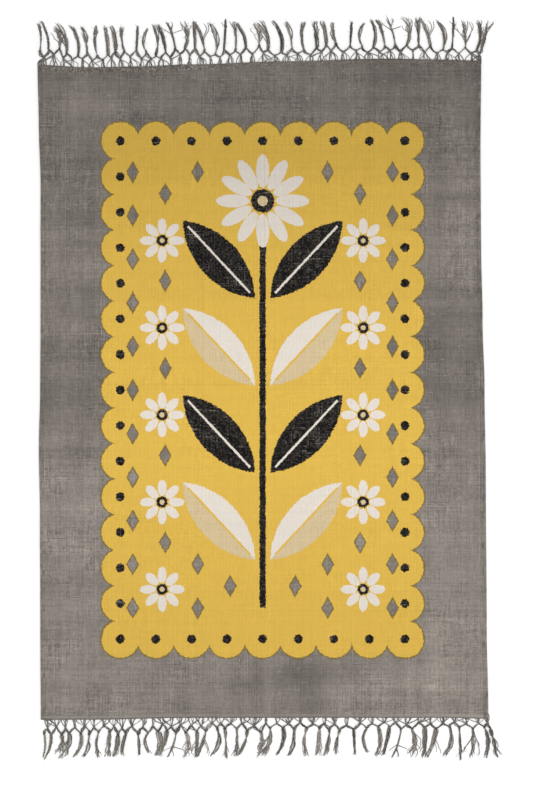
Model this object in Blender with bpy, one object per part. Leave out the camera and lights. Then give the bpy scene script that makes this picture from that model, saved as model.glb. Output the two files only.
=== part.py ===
"""A flat-woven cotton rug for a child's room, 1.00 by 1.47 m, with a knotted warp fringe at each end.

Metres, +Z up. The rug lies on z = 0 with its long side along Y, and the box of the whole part is centred
on x = 0, y = 0. rug_body is the woven sheet. fringe_far (+Y) and fringe_near (-Y) are its warp ends: on each,
fans of yarn leave a narrow strip at the cloth's edge and gather into a first row of knots, split in two,
meet their neighbours in a second row of knots and hang from there as loose locks.
"""

from collections import namedtuple

import bmesh
import bpy
import numpy as np

# Woven sheet
WIDTH = 1.000
LENGTH = 1.473
THICKNESS = 0.003
EVEN_COLUMNS = 16
EVEN_ROWS = 14

# Strip that holds the roots of a fringe, parted from the sheet's end
PART_GAP = 0.0003
STRIP_WIDTH = 0.004
STRIP_HEIGHT = 0.0026

# Knots and strands
KNOT_SIDES = 6
KNOT_RADIUS = 0.0028
KNOT_WALL = 0.0022
KNOT_TOP = 0.0046
KNOT_CROWN_SHARE = 0.55
ROOT_KNOT_SHARE = 0.575
FAN_SHARE = 0.86
FAN_WAIST_WIDTH = 0.0075
FAN_WAIST_SHARE = 0.45
SPLIT_WIDTH = 0.0032
SPLIT_HEIGHT = 0.0020
SPLIT_SLACK = 0.0007
NEAR_REACH_SHARE = 0.90
ROOT_CORNER_IN = 0.0010

# How far each edge stands out (+) or in (-) from the even rectangle, by share of the edge's length.
# Long sides run from the near end to the far end, short sides from left to right.
EdgePoint = namedtuple("EdgePoint", "share out")
LEFT_EDGE = (
    EdgePoint(0.00, -0.0010),
    EdgePoint(0.15, 0.0000),
    EdgePoint(0.30, 0.0007),
    EdgePoint(0.42, 0.0031),
    EdgePoint(0.50, 0.0004),
    EdgePoint(0.60, -0.0005),
    EdgePoint(0.82, -0.0005),
    EdgePoint(0.91, 0.0034),
    EdgePoint(1.00, 0.0063),
)
RIGHT_EDGE = (
    EdgePoint(0.00, 0.0075),
    EdgePoint(0.15, 0.0038),
    EdgePoint(0.38, 0.0016),
    EdgePoint(0.50, -0.0012),
    EdgePoint(0.61, -0.0056),
    EdgePoint(0.72, -0.0090),
    EdgePoint(0.86, -0.0103),
    EdgePoint(1.00, -0.0088),
)
FAR_EDGE = (
    EdgePoint(0.00, -0.0045),
    EdgePoint(0.12, -0.0101),
    EdgePoint(0.24, -0.0079),
    EdgePoint(0.34, -0.0032),
    EdgePoint(0.56, 0.0034),
    EdgePoint(0.78, 0.0098),
    EdgePoint(0.90, 0.0073),
    EdgePoint(1.00, 0.0050),
)
NEAR_EDGE = (
    EdgePoint(0.00, 0.0034),
    EdgePoint(0.10, 0.0032),
    EdgePoint(0.35, -0.0011),
    EdgePoint(0.90, -0.0011),
    EdgePoint(1.00, 0.0011),
)

# Soft ridges left by folding, parallel to the long sides: place across, ends along, and size.
Crease = namedtuple("Crease", "across start end height half_width")
CREASES = (
    Crease(0.503, 0.22, 0.92, 0.0022, 0.016),
    Crease(0.366, 0.46, 0.80, 0.0015, 0.014),
)
CREASE_FADE = 0.07
CREASE_LINES = (-1.0, -0.5, 0.0, 0.5, 1.0)
CREASE_CLEAR = 1.3

# Knots of the second row, left to right: x across the sheet, and how far out from the cloth.
FAR_KNOTS = (
    (-0.501, 0.0300), (-0.482, 0.0360), (-0.457, 0.0380), (-0.441, 0.0285), (-0.415, 0.0255),
    (-0.395, 0.0330), (-0.372, 0.0245), (-0.348, 0.0270), (-0.331, 0.0365), (-0.311, 0.0335),
    (-0.284, 0.0350), (-0.262, 0.0320), (-0.240, 0.0240), (-0.218, 0.0285), (-0.197, 0.0355),
    (-0.175, 0.0350), (-0.152, 0.0350), (-0.131, 0.0310), (-0.106, 0.0210), (-0.087, 0.0320),
    (-0.061, 0.0295), (-0.038, 0.0330), (-0.008, 0.0360), (0.012, 0.0260), (0.043, 0.0210),
    (0.066, 0.0280), (0.093, 0.0240), (0.122, 0.0285), (0.143, 0.0360), (0.165, 0.0350),
    (0.197, 0.0295), (0.224, 0.0280), (0.249, 0.0245), (0.275, 0.0270), (0.298, 0.0305),
    (0.324, 0.0305), (0.351, 0.0305), (0.377, 0.0295), (0.406, 0.0220), (0.426, 0.0255),
    (0.456, 0.0280), (0.482, 0.0240), (0.493, 0.0270),
)
NEAR_KNOTS = (
    (-0.491, 0.0320), (-0.476, 0.0360), (-0.452, 0.0355), (-0.435, 0.0335), (-0.409, 0.0330),
    (-0.390, 0.0340), (-0.369, 0.0300), (-0.344, 0.0300), (-0.325, 0.0380), (-0.308, 0.0365),
    (-0.280, 0.0365), (-0.258, 0.0345), (-0.235, 0.0320), (-0.216, 0.0300), (-0.195, 0.0360),
    (-0.173, 0.0350), (-0.148, 0.0330), (-0.128, 0.0315), (-0.102, 0.0255), (-0.085, 0.0265),
    (-0.058, 0.0265), (-0.035, 0.0315), (-0.003, 0.0355), (0.017, 0.0265), (0.046, 0.0255),
    (0.071, 0.0285), (0.099, 0.0245), (0.128, 0.0260), (0.150, 0.0310), (0.173, 0.0310),
    (0.205, 0.0295), (0.233, 0.0270), (0.260, 0.0220), (0.285, 0.0230), (0.311, 0.0280),
    (0.336, 0.0270), (0.365, 0.0255), (0.390, 0.0270), (0.421, 0.0230), (0.442, 0.0230),
    (0.473, 0.0245), (0.499, 0.0205), (0.513, 0.0255),
)

# Loose locks, left to right: how far the tip leans (+ to the right), how far the middle bows the same way, the
# tip's reach from the cloth, and the width. Between the corners the rows of FIELD_LOCKS repeat.
Lock = namedtuple("Lock", "lean bow reach width")
LEFT_CORNER_LOCKS = (
    Lock(-0.002, 0.003, 0.090, 0.0040),
    Lock(-0.016, 0.005, 0.097, 0.0045),
)
FIELD_LOCKS = (
    Lock(-0.016, 0.003, 0.086, 0.0060),
    Lock(-0.014, 0.006, 0.093, 0.0090),
    Lock(-0.017, 0.007, 0.091, 0.0070),
    Lock(-0.014, 0.008, 0.092, 0.0065),
    Lock(0.000, -0.004, 0.091, 0.0060),
    Lock(-0.005, 0.001, 0.090, 0.0080),
    Lock(-0.011, 0.002, 0.090, 0.0085),
    Lock(-0.007, -0.003, 0.087, 0.0055),
    Lock(0.005, 0.000, 0.088, 0.0050),
    Lock(0.004, -0.008, 0.083, 0.0065),
    Lock(-0.004, 0.006, 0.090, 0.0075),
    Lock(-0.014, 0.003, 0.090, 0.0065),
    Lock(-0.020, 0.002, 0.095, 0.0055),
    Lock(-0.004, 0.008, 0.094, 0.0075),
    Lock(-0.003, 0.002, 0.096, 0.0065),
    Lock(-0.014, 0.002, 0.096, 0.0060),
    Lock(-0.012, 0.012, 0.093, 0.0065),
    Lock(0.004, 0.002, 0.099, 0.0055),
    Lock(-0.009, 0.004, 0.088, 0.0055),
    Lock(-0.021, 0.007, 0.092, 0.0060),
)
RIGHT_CORNER_LOCKS = (
    Lock(-0.001, -0.003, 0.095, 0.0080),
    Lock(0.009, 0.002, 0.093, 0.0080),
)

# Section of a lock along its length, from its knot to its tip, as shares of the lock's width.
LockSection = namedtuple("LockSection", "along width height")
LOCK_SECTIONS = (
    LockSection(0.10, 0.50, 0.42),
    LockSection(0.42, 0.95, 0.50),
    LockSection(0.74, 1.00, 0.44),
    LockSection(1.00, 0.62, 0.24),
)
TOP_SHARE = 0.62

CLOTH_COLOUR = (0.205, 0.182, 0.162, 1.0)
YARN_COLOUR = (0.150, 0.135, 0.120, 1.0)
CLOTH_ROUGHNESS = 0.92
SHARP_ANGLE = 0.9


def clear_scene():
    """Removes every object that the scene holds."""
    for item in list(bpy.data.objects):
        bpy.data.objects.remove(item, do_unlink=True)


def make_material(name, colour):
    """A matt Principled material of one colour."""
    material = bpy.data.materials.new(name)
    material.use_nodes = True
    shader = material.node_tree.nodes["Principled BSDF"]
    shader.inputs["Base Color"].default_value = colour
    shader.inputs["Roughness"].default_value = CLOTH_ROUGHNESS
    shader.inputs["Metallic"].default_value = 0.0
    material.diffuse_color = colour
    return material


def smooth(share):
    """A soft step from 0 to 1 as share goes from 0 to 1."""
    share = min(max(share, 0.0), 1.0)
    return share * share * (3.0 - 2.0 * share)


def edge_out(table, share):
    """How far an edge stands out at a share of its length: soft steps between the table's rows."""
    for first, last in zip(table, table[1:]):
        if share <= last.share:
            blend = smooth((share - first.share) / (last.share - first.share))
            return first.out + (last.out - first.out) * blend
    return table[-1].out


def sheet_place(across, along):
    """The x and y of a point of the sheet, from its shares across and along."""
    left = -WIDTH / 2 - edge_out(LEFT_EDGE, along)
    right = WIDTH / 2 + edge_out(RIGHT_EDGE, along)
    near = -LENGTH / 2 - edge_out(NEAR_EDGE, across)
    far = LENGTH / 2 + edge_out(FAR_EDGE, across)
    return left + (right - left) * across, near + (far - near) * along


def crease_lift(across, along):
    """How far the creases lift the sheet off the floor."""
    lift = 0.0
    for crease in CREASES:
        off = abs(across - crease.across) * WIDTH / crease.half_width
        ends = smooth((along - crease.start) / CREASE_FADE) * smooth((crease.end - along) / CREASE_FADE)
        lift += crease.height * ends * smooth(1.0 - off)
    return lift


def sheet_columns():
    """Shares across at which the sheet has a line of points: even ones, and five over each crease."""
    columns = {step / EVEN_COLUMNS for step in range(EVEN_COLUMNS + 1)}
    for crease in CREASES:
        half = crease.half_width / WIDTH
        columns = {place for place in columns if abs(place - crease.across) > half * CREASE_CLEAR}
        columns |= {crease.across + half * line for line in CREASE_LINES}
    return sorted(columns)


def new_object(name, mesh_data, material):
    """Puts a finished bmesh into the scene as one named object."""
    bmesh.ops.recalc_face_normals(mesh_data, faces=mesh_data.faces[:])
    mesh = bpy.data.meshes.new(name)
    mesh_data.to_mesh(mesh)
    mesh_data.free()
    mesh.shade_smooth()
    mesh.set_sharp_from_angle(angle=SHARP_ANGLE)
    mesh.materials.append(material)
    item = bpy.data.objects.new(name, mesh)
    bpy.context.scene.collection.objects.link(item)
    return item


def build_body(material):
    """The woven sheet: a grid on the uneven outline, lifted along its creases and given its thickness.

    At the short ends the sheet stops at the strips that hold the fringes.
    """
    columns = sheet_columns()
    rows = [step / EVEN_ROWS for step in range(EVEN_ROWS + 1)]
    sheet = bmesh.new()
    points = []
    for row, along in enumerate(rows):
        line = []
        for across in columns:
            x, y = sheet_place(across, along)
            if row == 0:
                y += STRIP_WIDTH + PART_GAP
            elif row == EVEN_ROWS:
                y -= STRIP_WIDTH + PART_GAP
            line.append(sheet.verts.new((x, y, crease_lift(across, along))))
        points.append(line)
    for low, high in zip(points, points[1:]):
        for place in range(len(columns) - 1):
            sheet.faces.new((low[place], low[place + 1], high[place + 1], high[place]))
    grown = bmesh.ops.extrude_face_region(sheet, geom=sheet.faces[:])["geom"]
    raised = [item for item in grown if isinstance(item, bmesh.types.BMVert)]
    bmesh.ops.translate(sheet, vec=(0.0, 0.0, THICKNESS), verts=raised)
    return new_object("rug_body", sheet, material)


class Knot:
    """A flat knot with six sides and a raised crown. Strands leave it through its sides.

    The corners run round from the right, so side 1 faces out from the cloth, side 4 faces the cloth, sides 0 and
    2 face out to the right and left, and sides 5 and 3 face the cloth to the right and left.
    """

    OUT_RIGHT, OUT, OUT_LEFT, IN_LEFT, IN, IN_RIGHT = range(KNOT_SIDES)

    def __init__(self, fringe, x, out):
        self.fringe = fringe
        self.open_sides = set()
        self.x = x
        self.out = out
        turns = [2 * np.pi * corner / KNOT_SIDES for corner in range(KNOT_SIDES)]
        around = [(KNOT_RADIUS * np.cos(turn), KNOT_RADIUS * np.sin(turn)) for turn in turns]
        self.floor = [fringe.point(x + dx, out + dy, 0.0, x) for dx, dy in around]
        self.wall = [fringe.point(x + dx, out + dy, KNOT_WALL, x) for dx, dy in around]
        share = KNOT_CROWN_SHARE
        self.crown = [fringe.point(x + dx * share, out + dy * share, KNOT_TOP, x) for dx, dy in around]

    def port(self, side):
        """Opens a side and returns its corners in a strand's order, left before right looking out from the cloth."""
        self.open_sides.add(side)
        left, right = (side + 1) % KNOT_SIDES, side
        if side in (self.IN_LEFT, self.IN, self.IN_RIGHT):
            left, right = right, left
        return [self.floor[left], self.floor[right], self.wall[right], self.wall[left]]

    def close(self):
        """Makes the crown, the underside and the sides that no strand leaves through."""
        faces = self.fringe.mesh.faces
        faces.new(self.floor)
        faces.new(self.crown)
        for side in range(KNOT_SIDES):
            after = (side + 1) % KNOT_SIDES
            faces.new((self.wall[side], self.wall[after], self.crown[after], self.crown[side]))
            if side not in self.open_sides:
                faces.new((self.floor[side], self.floor[after], self.wall[after], self.wall[side]))


class Fringe:
    """One knotted fringe, built outwards from the strip at the cloth's edge.

    along is 1 at the far end and 0 at the near end, knots is the table of the second row there, and reach_share
    shortens the locks.
    """

    def __init__(self, name, along, knots, reach_share):
        self.name = name
        self.facing = 1.0 if along > 0.5 else -1.0
        self.knots = knots
        self.reach_share = reach_share
        self.mesh = bmesh.new()
        edge = [sheet_place(across, along) for across in sheet_columns()]
        self.edge_x = [place[0] for place in edge]
        self.edge_y = [place[1] for place in edge]
        self.left = self.edge_x[0]
        self.right = self.edge_x[-1]

    def point(self, x, out, z, edge_x=None):
        """A new point at x, out from the cloth's end, which is read at edge_x where that is given."""
        edge_y = np.interp(x if edge_x is None else edge_x, self.edge_x, self.edge_y)
        return self.mesh.verts.new((x, edge_y + self.facing * out, z))

    def section(self, x, out, turn, width, height, edge_x):
        """A strand's section: a flat foot on the floor and a narrower top, square to a heading.

        turn is the sideways run of the strand for each unit that it runs out.
        """
        length = np.hypot(1.0, turn)
        side_x, side_out = width / 2 / length, -width / 2 * turn / length
        left_foot = self.point(x - side_x, out - side_out, 0.0, edge_x)
        right_foot = self.point(x + side_x, out + side_out, 0.0, edge_x)
        top_x, top_out = side_x * TOP_SHARE, side_out * TOP_SHARE
        right_top = self.point(x + top_x, out + top_out, height, edge_x)
        left_top = self.point(x - top_x, out - top_out, height, edge_x)
        return [left_foot, right_foot, right_top, left_top]

    def bridge(self, ring, following):
        """Joins two sections of a strand with four faces."""
        for corner in range(4):
            after = (corner + 1) % 4
            self.mesh.faces.new((ring[corner], ring[after], following[after], following[corner]))

    def lock_rows(self):
        """The row of the lock tables for each lock, from left to right."""
        middle = len(self.knots) - len(LEFT_CORNER_LOCKS) - len(RIGHT_CORNER_LOCKS)
        field = [FIELD_LOCKS[place % len(FIELD_LOCKS)] for place in range(middle)]
        return list(LEFT_CORNER_LOCKS) + field + list(RIGHT_CORNER_LOCKS)

    def add_strip(self, roots):
        """The strip at the cloth's edge. Returns the ring of each fan's root.

        roots holds the left and right x of each fan.
        """
        stations = [self.left] + [x for root in roots for x in root] + [self.right]
        section = ((0.0, 0.0), (0.0, STRIP_HEIGHT), (-STRIP_WIDTH, STRIP_HEIGHT), (-STRIP_WIDTH, 0.0))
        lines = [[self.point(x, out, z) for out, z in section] for x in stations]
        faces = self.mesh.faces
        rings = []
        for place, (line, following) in enumerate(zip(lines, lines[1:])):
            for corner, after in ((1, 2), (2, 3), (3, 0)):
                faces.new((line[corner], line[after], following[after], following[corner]))
            if place % 2:
                rings.append([line[0], following[0], following[1], line[1]])
            else:
                faces.new((line[0], line[1], following[1], following[0]))
        faces.new(lines[0])
        faces.new(lines[-1])
        return rings

    def add_fan(self, ring, knot):
        """The yarns that leave the cloth side by side and gather into a knot."""
        root_x = (ring[0].co.x + ring[1].co.x) / 2
        share = FAN_WAIST_SHARE
        x = root_x + (knot.x - root_x) * share
        height = (STRIP_HEIGHT + KNOT_WALL) / 2
        waist = self.section(x, knot.out * share, 0.0, FAN_WAIST_WIDTH, height, x)
        self.bridge(ring, waist)
        self.bridge(waist, knot.port(Knot.IN))

    def add_split(self, lower, upper):
        """A half bundle from a knot of the first row to one of the second."""
        to_right = upper.x > lower.x
        start = lower.port(Knot.OUT_RIGHT if to_right else Knot.OUT_LEFT)
        end = upper.port(Knot.IN_LEFT if to_right else Knot.IN_RIGHT)
        x, out = (lower.x + upper.x) / 2, (lower.out + upper.out) / 2
        turn = (upper.x - lower.x) / (upper.out - lower.out)
        slack = SPLIT_SLACK if to_right else -SPLIT_SLACK
        middle = self.section(x + slack, out, turn, SPLIT_WIDTH, SPLIT_HEIGHT, x)
        self.bridge(start, middle)
        self.bridge(middle, end)

    def add_lock(self, row, knot):
        """A loose lock: it leaves its knot as a neck, swells, bows and leans, and thins at the tip."""
        ring = knot.port(Knot.OUT)
        start = knot.out + KNOT_RADIUS
        reach = row.reach * self.reach_share
        for section in LOCK_SECTIONS:
            along = section.along
            x = knot.x + row.lean * along + row.bow * 4 * along * (1 - along)
            out = start + (reach - start) * along
            turn = (row.lean + row.bow * 4 * (1 - 2 * along)) / (reach - start)
            following = self.section(x, out, turn, row.width * section.width, row.width * section.height, knot.x)
            self.bridge(ring, following)
            ring = following
        self.mesh.faces.new(ring)

    def build(self, material):
        """Knots first, then the strands between them, then the sides that stay closed."""
        second = [Knot(self, x, out) for x, out in self.knots]
        first = []
        roots = []
        for left, right in zip(second, second[1:]):
            x = min((left.x + right.x) / 2, self.right - KNOT_RADIUS / 2)
            first.append(Knot(self, x, ROOT_KNOT_SHARE * (left.out + right.out) / 2))
            half = FAN_SHARE * (right.x - left.x) / 2
            roots.append((max(x - half, self.left + ROOT_CORNER_IN), min(x + half, self.right - ROOT_CORNER_IN)))
        for ring, knot in zip(self.add_strip(roots), first):
            self.add_fan(ring, knot)
        for place, knot in enumerate(first):
            self.add_split(knot, second[place])
            self.add_split(knot, second[place + 1])
        for row, knot in zip(self.lock_rows(), second):
            self.add_lock(row, knot)
        for knot in first + second:
            knot.close()
        return new_object(self.name, self.mesh, material)


def centre_part(items):
    """Moves all points so that the box of the whole part is centred on x = 0, y = 0."""
    points = np.array([vertex.co for item in items for vertex in item.data.vertices])
    middle = (points.min(axis=0) + points.max(axis=0)) / 2
    for item in items:
        for vertex in item.data.vertices:
            vertex.co.x -= middle[0]
            vertex.co.y -= middle[1]


def main():
    clear_scene()
    cloth = make_material("flat woven cotton", CLOTH_COLOUR)
    yarn = make_material("cotton warp yarn", YARN_COLOUR)
    body = build_body(cloth)
    far = Fringe("fringe_far", 1.0, FAR_KNOTS, 1.0).build(yarn)
    near = Fringe("fringe_near", 0.0, NEAR_KNOTS, NEAR_REACH_SHARE).build(yarn)
    centre_part((body, far, near))


main()
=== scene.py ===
"""The looks of a flat-woven cotton rug for a child's room, with a knotted fringe at each short end.

The rug lies on a pale floor and is seen from straight above. Its face is printed in mustard, cream, beige and
charcoal on a grey ground with a generic design: a scalloped panel with a leafy stem and daisies.
All sizes are in metres unless a name says otherwise.
"""

import logging
import math
from dataclasses import dataclass, field
from enum import Enum
from functools import cached_property
from typing import Sequence, Union

import bpy
import numpy as np
from mathutils import Matrix, Vector


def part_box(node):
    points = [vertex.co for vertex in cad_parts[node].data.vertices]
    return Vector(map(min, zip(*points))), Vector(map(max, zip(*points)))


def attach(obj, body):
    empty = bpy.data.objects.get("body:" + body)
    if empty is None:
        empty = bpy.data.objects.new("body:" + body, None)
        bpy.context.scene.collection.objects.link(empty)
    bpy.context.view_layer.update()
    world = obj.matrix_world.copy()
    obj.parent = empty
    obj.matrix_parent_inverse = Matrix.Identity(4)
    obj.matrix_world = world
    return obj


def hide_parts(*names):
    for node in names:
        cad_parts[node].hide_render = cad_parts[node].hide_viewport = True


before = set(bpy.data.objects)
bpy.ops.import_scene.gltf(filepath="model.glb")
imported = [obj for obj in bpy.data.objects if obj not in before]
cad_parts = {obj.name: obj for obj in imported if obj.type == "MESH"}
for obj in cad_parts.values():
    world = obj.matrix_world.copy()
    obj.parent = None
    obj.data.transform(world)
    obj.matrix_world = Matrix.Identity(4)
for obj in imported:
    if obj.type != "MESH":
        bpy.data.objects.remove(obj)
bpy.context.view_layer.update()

LOG = logging.getLogger("rug")
BODY = "root"
BAKE_MAP = "OFBake"
LENGTH_MAP = "yarn_length"
FULL_TURN = 2.0 * math.pi
Colour = tuple[float, float, float]
Pair = tuple[float, float]
Stops = tuple[Pair, ...]
Number = Union["Field", float]


# ---- Small tools ----


def smooth(share: np.ndarray | float) -> np.ndarray:
    """Eases a share: a soft step from 0 to 1 as it goes from 0 to 1."""
    share = np.clip(share, 0.0, 1.0)
    return share * share * (3.0 - 2.0 * share)


def deselect_all() -> None:
    bpy.ops.object.select_all(action="DESELECT")


def named(name: str) -> bpy.types.Object:
    """Names the object that an operator has just added, and its mesh.

    Args:
        name: The new name.

    Returns:
        The named object.
    """
    item = bpy.context.object
    item.name = name
    item.data.name = name
    return item


def read(items: bpy.types.bpy_prop_collection, name: str, width: int = 1,
         kind: type = np.float32) -> np.ndarray:
    """Reads one property of all the points, faces or corners of a mesh.

    Args:
        items: The points, faces or corners.
        name: The property's name.
        width: How many numbers each has.
        kind: The numbers' type.

    Returns:
        The numbers, in rows of that width.
    """
    values = np.empty(len(items) * width, kind)
    items.foreach_get(name, values)
    return values.reshape(-1, width) if width > 1 else values


def write(items: bpy.types.bpy_prop_collection, name: str, values: np.ndarray,
          kind: type = np.float32) -> None:
    """Writes one property of all the points, faces or corners of a mesh."""
    items.foreach_set(name, np.asarray(values).astype(kind).ravel())


# ---- Shape of the cloth ----


@dataclass(frozen=True)
class Fold:
    """A soft ridge or trough in the cloth, between two places given as shares across and along it."""

    start: Pair
    end: Pair
    height: float
    half_width: float
    fade: float = 0.10


@dataclass(frozen=True)
class Swell:
    """A long low wave of the cloth: its height, its length, its heading in degrees and its phase in turns."""

    height: float
    length: float
    heading: float
    phase: float


@dataclass(frozen=True)
class RugShape:
    """The cloth's outline and how it lies. The outline and the two long folds are those of the CAD solid.

    left, right, far and near tell how far each edge stands out from the even rectangle at shares of its
    length. near_spill is how far the near edge lies outside the CAD sheet, over the fringe's root strip.
    """

    width: float = 1.000
    length: float = 1.473
    thickness: float = 0.003
    near_spill: float = 0.0061
    edge_samples: int = 401
    left: Stops = (
        (0.00, -0.0010), (0.15, 0.0000), (0.30, 0.0007), (0.42, 0.0031), (0.50, 0.0004), (0.60, -0.0005),
        (0.82, -0.0005), (0.91, 0.0034), (1.00, 0.0063),
    )
    right: Stops = (
        (0.00, 0.0075), (0.15, 0.0038), (0.38, 0.0016), (0.50, -0.0012), (0.61, -0.0056), (0.72, -0.0090),
        (0.86, -0.0103), (1.00, -0.0088),
    )
    far: Stops = (
        (0.00, -0.0053), (0.12, -0.0109), (0.24, -0.0088), (0.34, -0.0042), (0.56, 0.0026), (0.78, 0.0087),
        (0.90, 0.0066), (1.00, 0.0042),
    )
    near: Stops = ((0.00, 0.0052), (0.10, 0.0050), (0.35, 0.0007), (0.90, 0.0007), (1.00, 0.0029))
    folds: tuple[Fold, ...] = (
        Fold((0.503, 0.22), (0.503, 0.92), 0.0022, 0.016),
        Fold((0.366, 0.46), (0.366, 0.80), 0.0015, 0.014),
        Fold((0.140, 0.985), (0.215, 0.935), 0.0016, 0.012, 0.3),
        Fold((0.175, 0.990), (0.235, 0.950), -0.0008, 0.009, 0.3),
        Fold((0.000, 0.437), (0.060, 0.425), 0.0018, 0.014, 0.4),
        Fold((0.700, 0.300), (0.700, 0.640), 0.0009, 0.018),
        Fold((0.100, 0.508), (0.800, 0.508), 0.0011, 0.013),
        Fold((0.730, 0.764), (0.920, 0.764), 0.0008, 0.012, 0.3),
        Fold((0.860, 0.988), (0.925, 0.955), 0.0013, 0.011, 0.3),
        Fold((0.915, 0.985), (0.975, 0.940), 0.0011, 0.011, 0.3),
        Fold((0.590, 0.990), (0.670, 0.962), 0.0010, 0.011, 0.3),
    )
    swells: tuple[Swell, ...] = (
        Swell(0.00035, 0.37, 8.0, 0.10),
        Swell(0.00030, 0.23, 97.0, 0.55),
        Swell(0.00022, 0.15, 63.0, 0.80),
        Swell(0.00018, 0.11, 128.0, 0.35),
    )

    @staticmethod
    def _out(edge: Stops, share: np.ndarray) -> np.ndarray:
        """How far an edge stands out, in soft steps between its points.

        Args:
            edge: The edge's points.
            share: The shares of its length at which it is read.

        Returns:
            How far out it is at each of them.
        """
        out = np.full_like(share, edge[-1][1])
        for (first, first_out), (last, last_out) in reversed(list(zip(edge, edge[1:]))):
            blend = smooth((share - first) / (last - first))
            out = np.where(share <= last, first_out + (last_out - first_out) * blend, out)
        return out

    def _raw_place(self, across: np.ndarray, along: np.ndarray) -> tuple[np.ndarray, np.ndarray]:
        """Where points of the cloth lie before it is centred as the CAD part is.

        Args:
            across: Shares from the left side to the right one.
            along: Shares from the near end to the far one.

        Returns:
            Their x and y.
        """
        left = -self.width / 2 - self._out(self.left, along)
        right = self.width / 2 + self._out(self.right, along)
        near = -self.length / 2 - self._out(self.near, across)
        far = self.length / 2 + self._out(self.far, across)
        return left + (right - left) * across, near + (far - near) * along

    @cached_property
    def shift(self) -> Vector:
        """Finds the move that takes the outline to its place in the frame.

        Returns:
            The move, read from the CAD sheet's left and near limits.
        """
        share = np.linspace(0.0, 1.0, self.edge_samples)
        left = self._raw_place(np.zeros_like(share), share)[0].min()
        near = self._raw_place(share, np.zeros_like(share))[1].min() + self.near_spill
        low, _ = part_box("rug_body")
        return Vector((low[0] - left, low[1] - near, 0.0))

    def place(self, across: np.ndarray, along: np.ndarray) -> tuple[np.ndarray, np.ndarray]:
        """Where points of the cloth lie in the frame, from their shares across and along it."""
        x, y = self._raw_place(np.asarray(across, float), np.asarray(along, float))
        return x + self.shift.x, y + self.shift.y

    def lift(self, across: np.ndarray, along: np.ndarray) -> np.ndarray:
        """How far the cloth's underside stands off the floor.

        Args:
            across: Shares from the left side to the right one.
            along: Shares from the near end to the far one.

        Returns:
            The height of the underside at each point, never below the floor.
        """
        lift = np.zeros_like(across)
        for fold in self.folds:
            (start_x, start_y), (end_x, end_y) = fold.start, fold.end
            run = np.array([(end_x - start_x) * self.width, (end_y - start_y) * self.length])
            reach = float(np.hypot(*run))
            heading = run / reach
            dx, dy = (across - start_x) * self.width, (along - start_y) * self.length
            done = (dx * heading[0] + dy * heading[1]) / reach
            aside = np.abs(dx * heading[1] - dy * heading[0]) / fold.half_width
            ends = smooth(done / fold.fade) * smooth((1.0 - done) / fold.fade)
            lift += fold.height * ends * smooth(1.0 - aside)
        for swell in self.swells:
            heading = math.radians(swell.heading)
            run = across * self.width * math.cos(heading) + along * self.length * math.sin(heading)
            lift += swell.height * (1.0 + np.sin(FULL_TURN * (run / swell.length + swell.phase)))
        return np.maximum(lift, 0.0)


# ---- Material graphs ----


class Field:
    """A number, vector or colour that varies over a surface: a node's output, with arithmetic on it."""

    def __init__(self, graph: "Graph", socket: bpy.types.NodeSocket) -> None:
        """Keeps the output, and the graph that its node stands in."""
        self.graph, self.socket = graph, socket

    def math(self, operation: str, *others: Number) -> "Field":
        """One Math node on this field and any others."""
        return self.graph.math(operation, self, *others)

    def __add__(self, other: Number) -> "Field":
        """This field plus another number."""
        return self.math("ADD", other)

    __radd__ = __add__

    def __sub__(self, other: Number) -> "Field":
        """This field less another number."""
        return self.math("SUBTRACT", other)

    def __rsub__(self, other: Number) -> "Field":
        """Another number less this field."""
        return self.graph.math("SUBTRACT", other, self)

    def __mul__(self, other: Number) -> "Field":
        """This field times another number."""
        return self.math("MULTIPLY", other)

    __rmul__ = __mul__

    def __truediv__(self, other: Number) -> "Field":
        """This field divided by another number."""
        return self.math("DIVIDE", other)

    def __abs__(self) -> "Field":
        """The size of this field without its sign."""
        return self.math("ABSOLUTE")

    def floor(self) -> "Field":
        """The whole number at or below this field."""
        return self.math("FLOOR")

    def cosine(self) -> "Field":
        """The cosine of this field in radians."""
        return self.math("COSINE")

    def span(self, other: Number) -> "Field":
        """The length of the flat vector of this field and another number."""
        return self.graph.out("VectorMath", (self.graph.point(self, other),), "Value", operation="LENGTH")

    def wave(self, length: float = 1.0) -> "Field":
        """A wave from 1 down to 0 and back over each length of this field."""
        return (self * (FULL_TURN / length)).cosine() * 0.5 + 0.5

    def least(self, other: Number) -> "Field":
        """The lesser of this field and another number."""
        return self.math("MINIMUM", other)

    def most(self, other: Number) -> "Field":
        """The greater of this field and another number."""
        return self.math("MAXIMUM", other)

    def above(self, limit: Number) -> "Field":
        """1 where this field is over a limit, 0 elsewhere."""
        return self.math("GREATER_THAN", limit)

    def odd(self) -> "Field":
        """1 where this field of whole numbers is odd, 0 where it is even."""
        return self.math("FLOORED_MODULO", 2.0)

    def kept_within(self, low: float, high: float) -> "Field":
        """This field held between two limits."""
        return self.most(low).least(high)

    def step(self, low: float, high: float) -> "Field":
        """A soft step from 0 where this field is low to 1 where it is high. low may be the greater one."""
        inputs = {"Value": self, "From Min": min(low, high), "From Max": max(low, high),
                  "To Min": float(low > high), "To Max": float(low <= high)}
        return self.graph.out("MapRange", inputs, "Result", interpolation_type="SMOOTHSTEP")

    def inside(self, blur: float = 0.0004) -> "Field":
        """A mask that is 1 where this signed distance is below 0, with an edge of a little blur."""
        return self.step(blur, -blur)

    def nearest(self, step: float) -> "Field":
        """The number of the nearest of many places a step apart."""
        return (self / step + 0.5).floor()

    def swing(self, span: float) -> "Field":
        """This share, from 0 to 1, as a swing of half a span to both sides of nothing."""
        return (self - 0.5) * span


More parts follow.
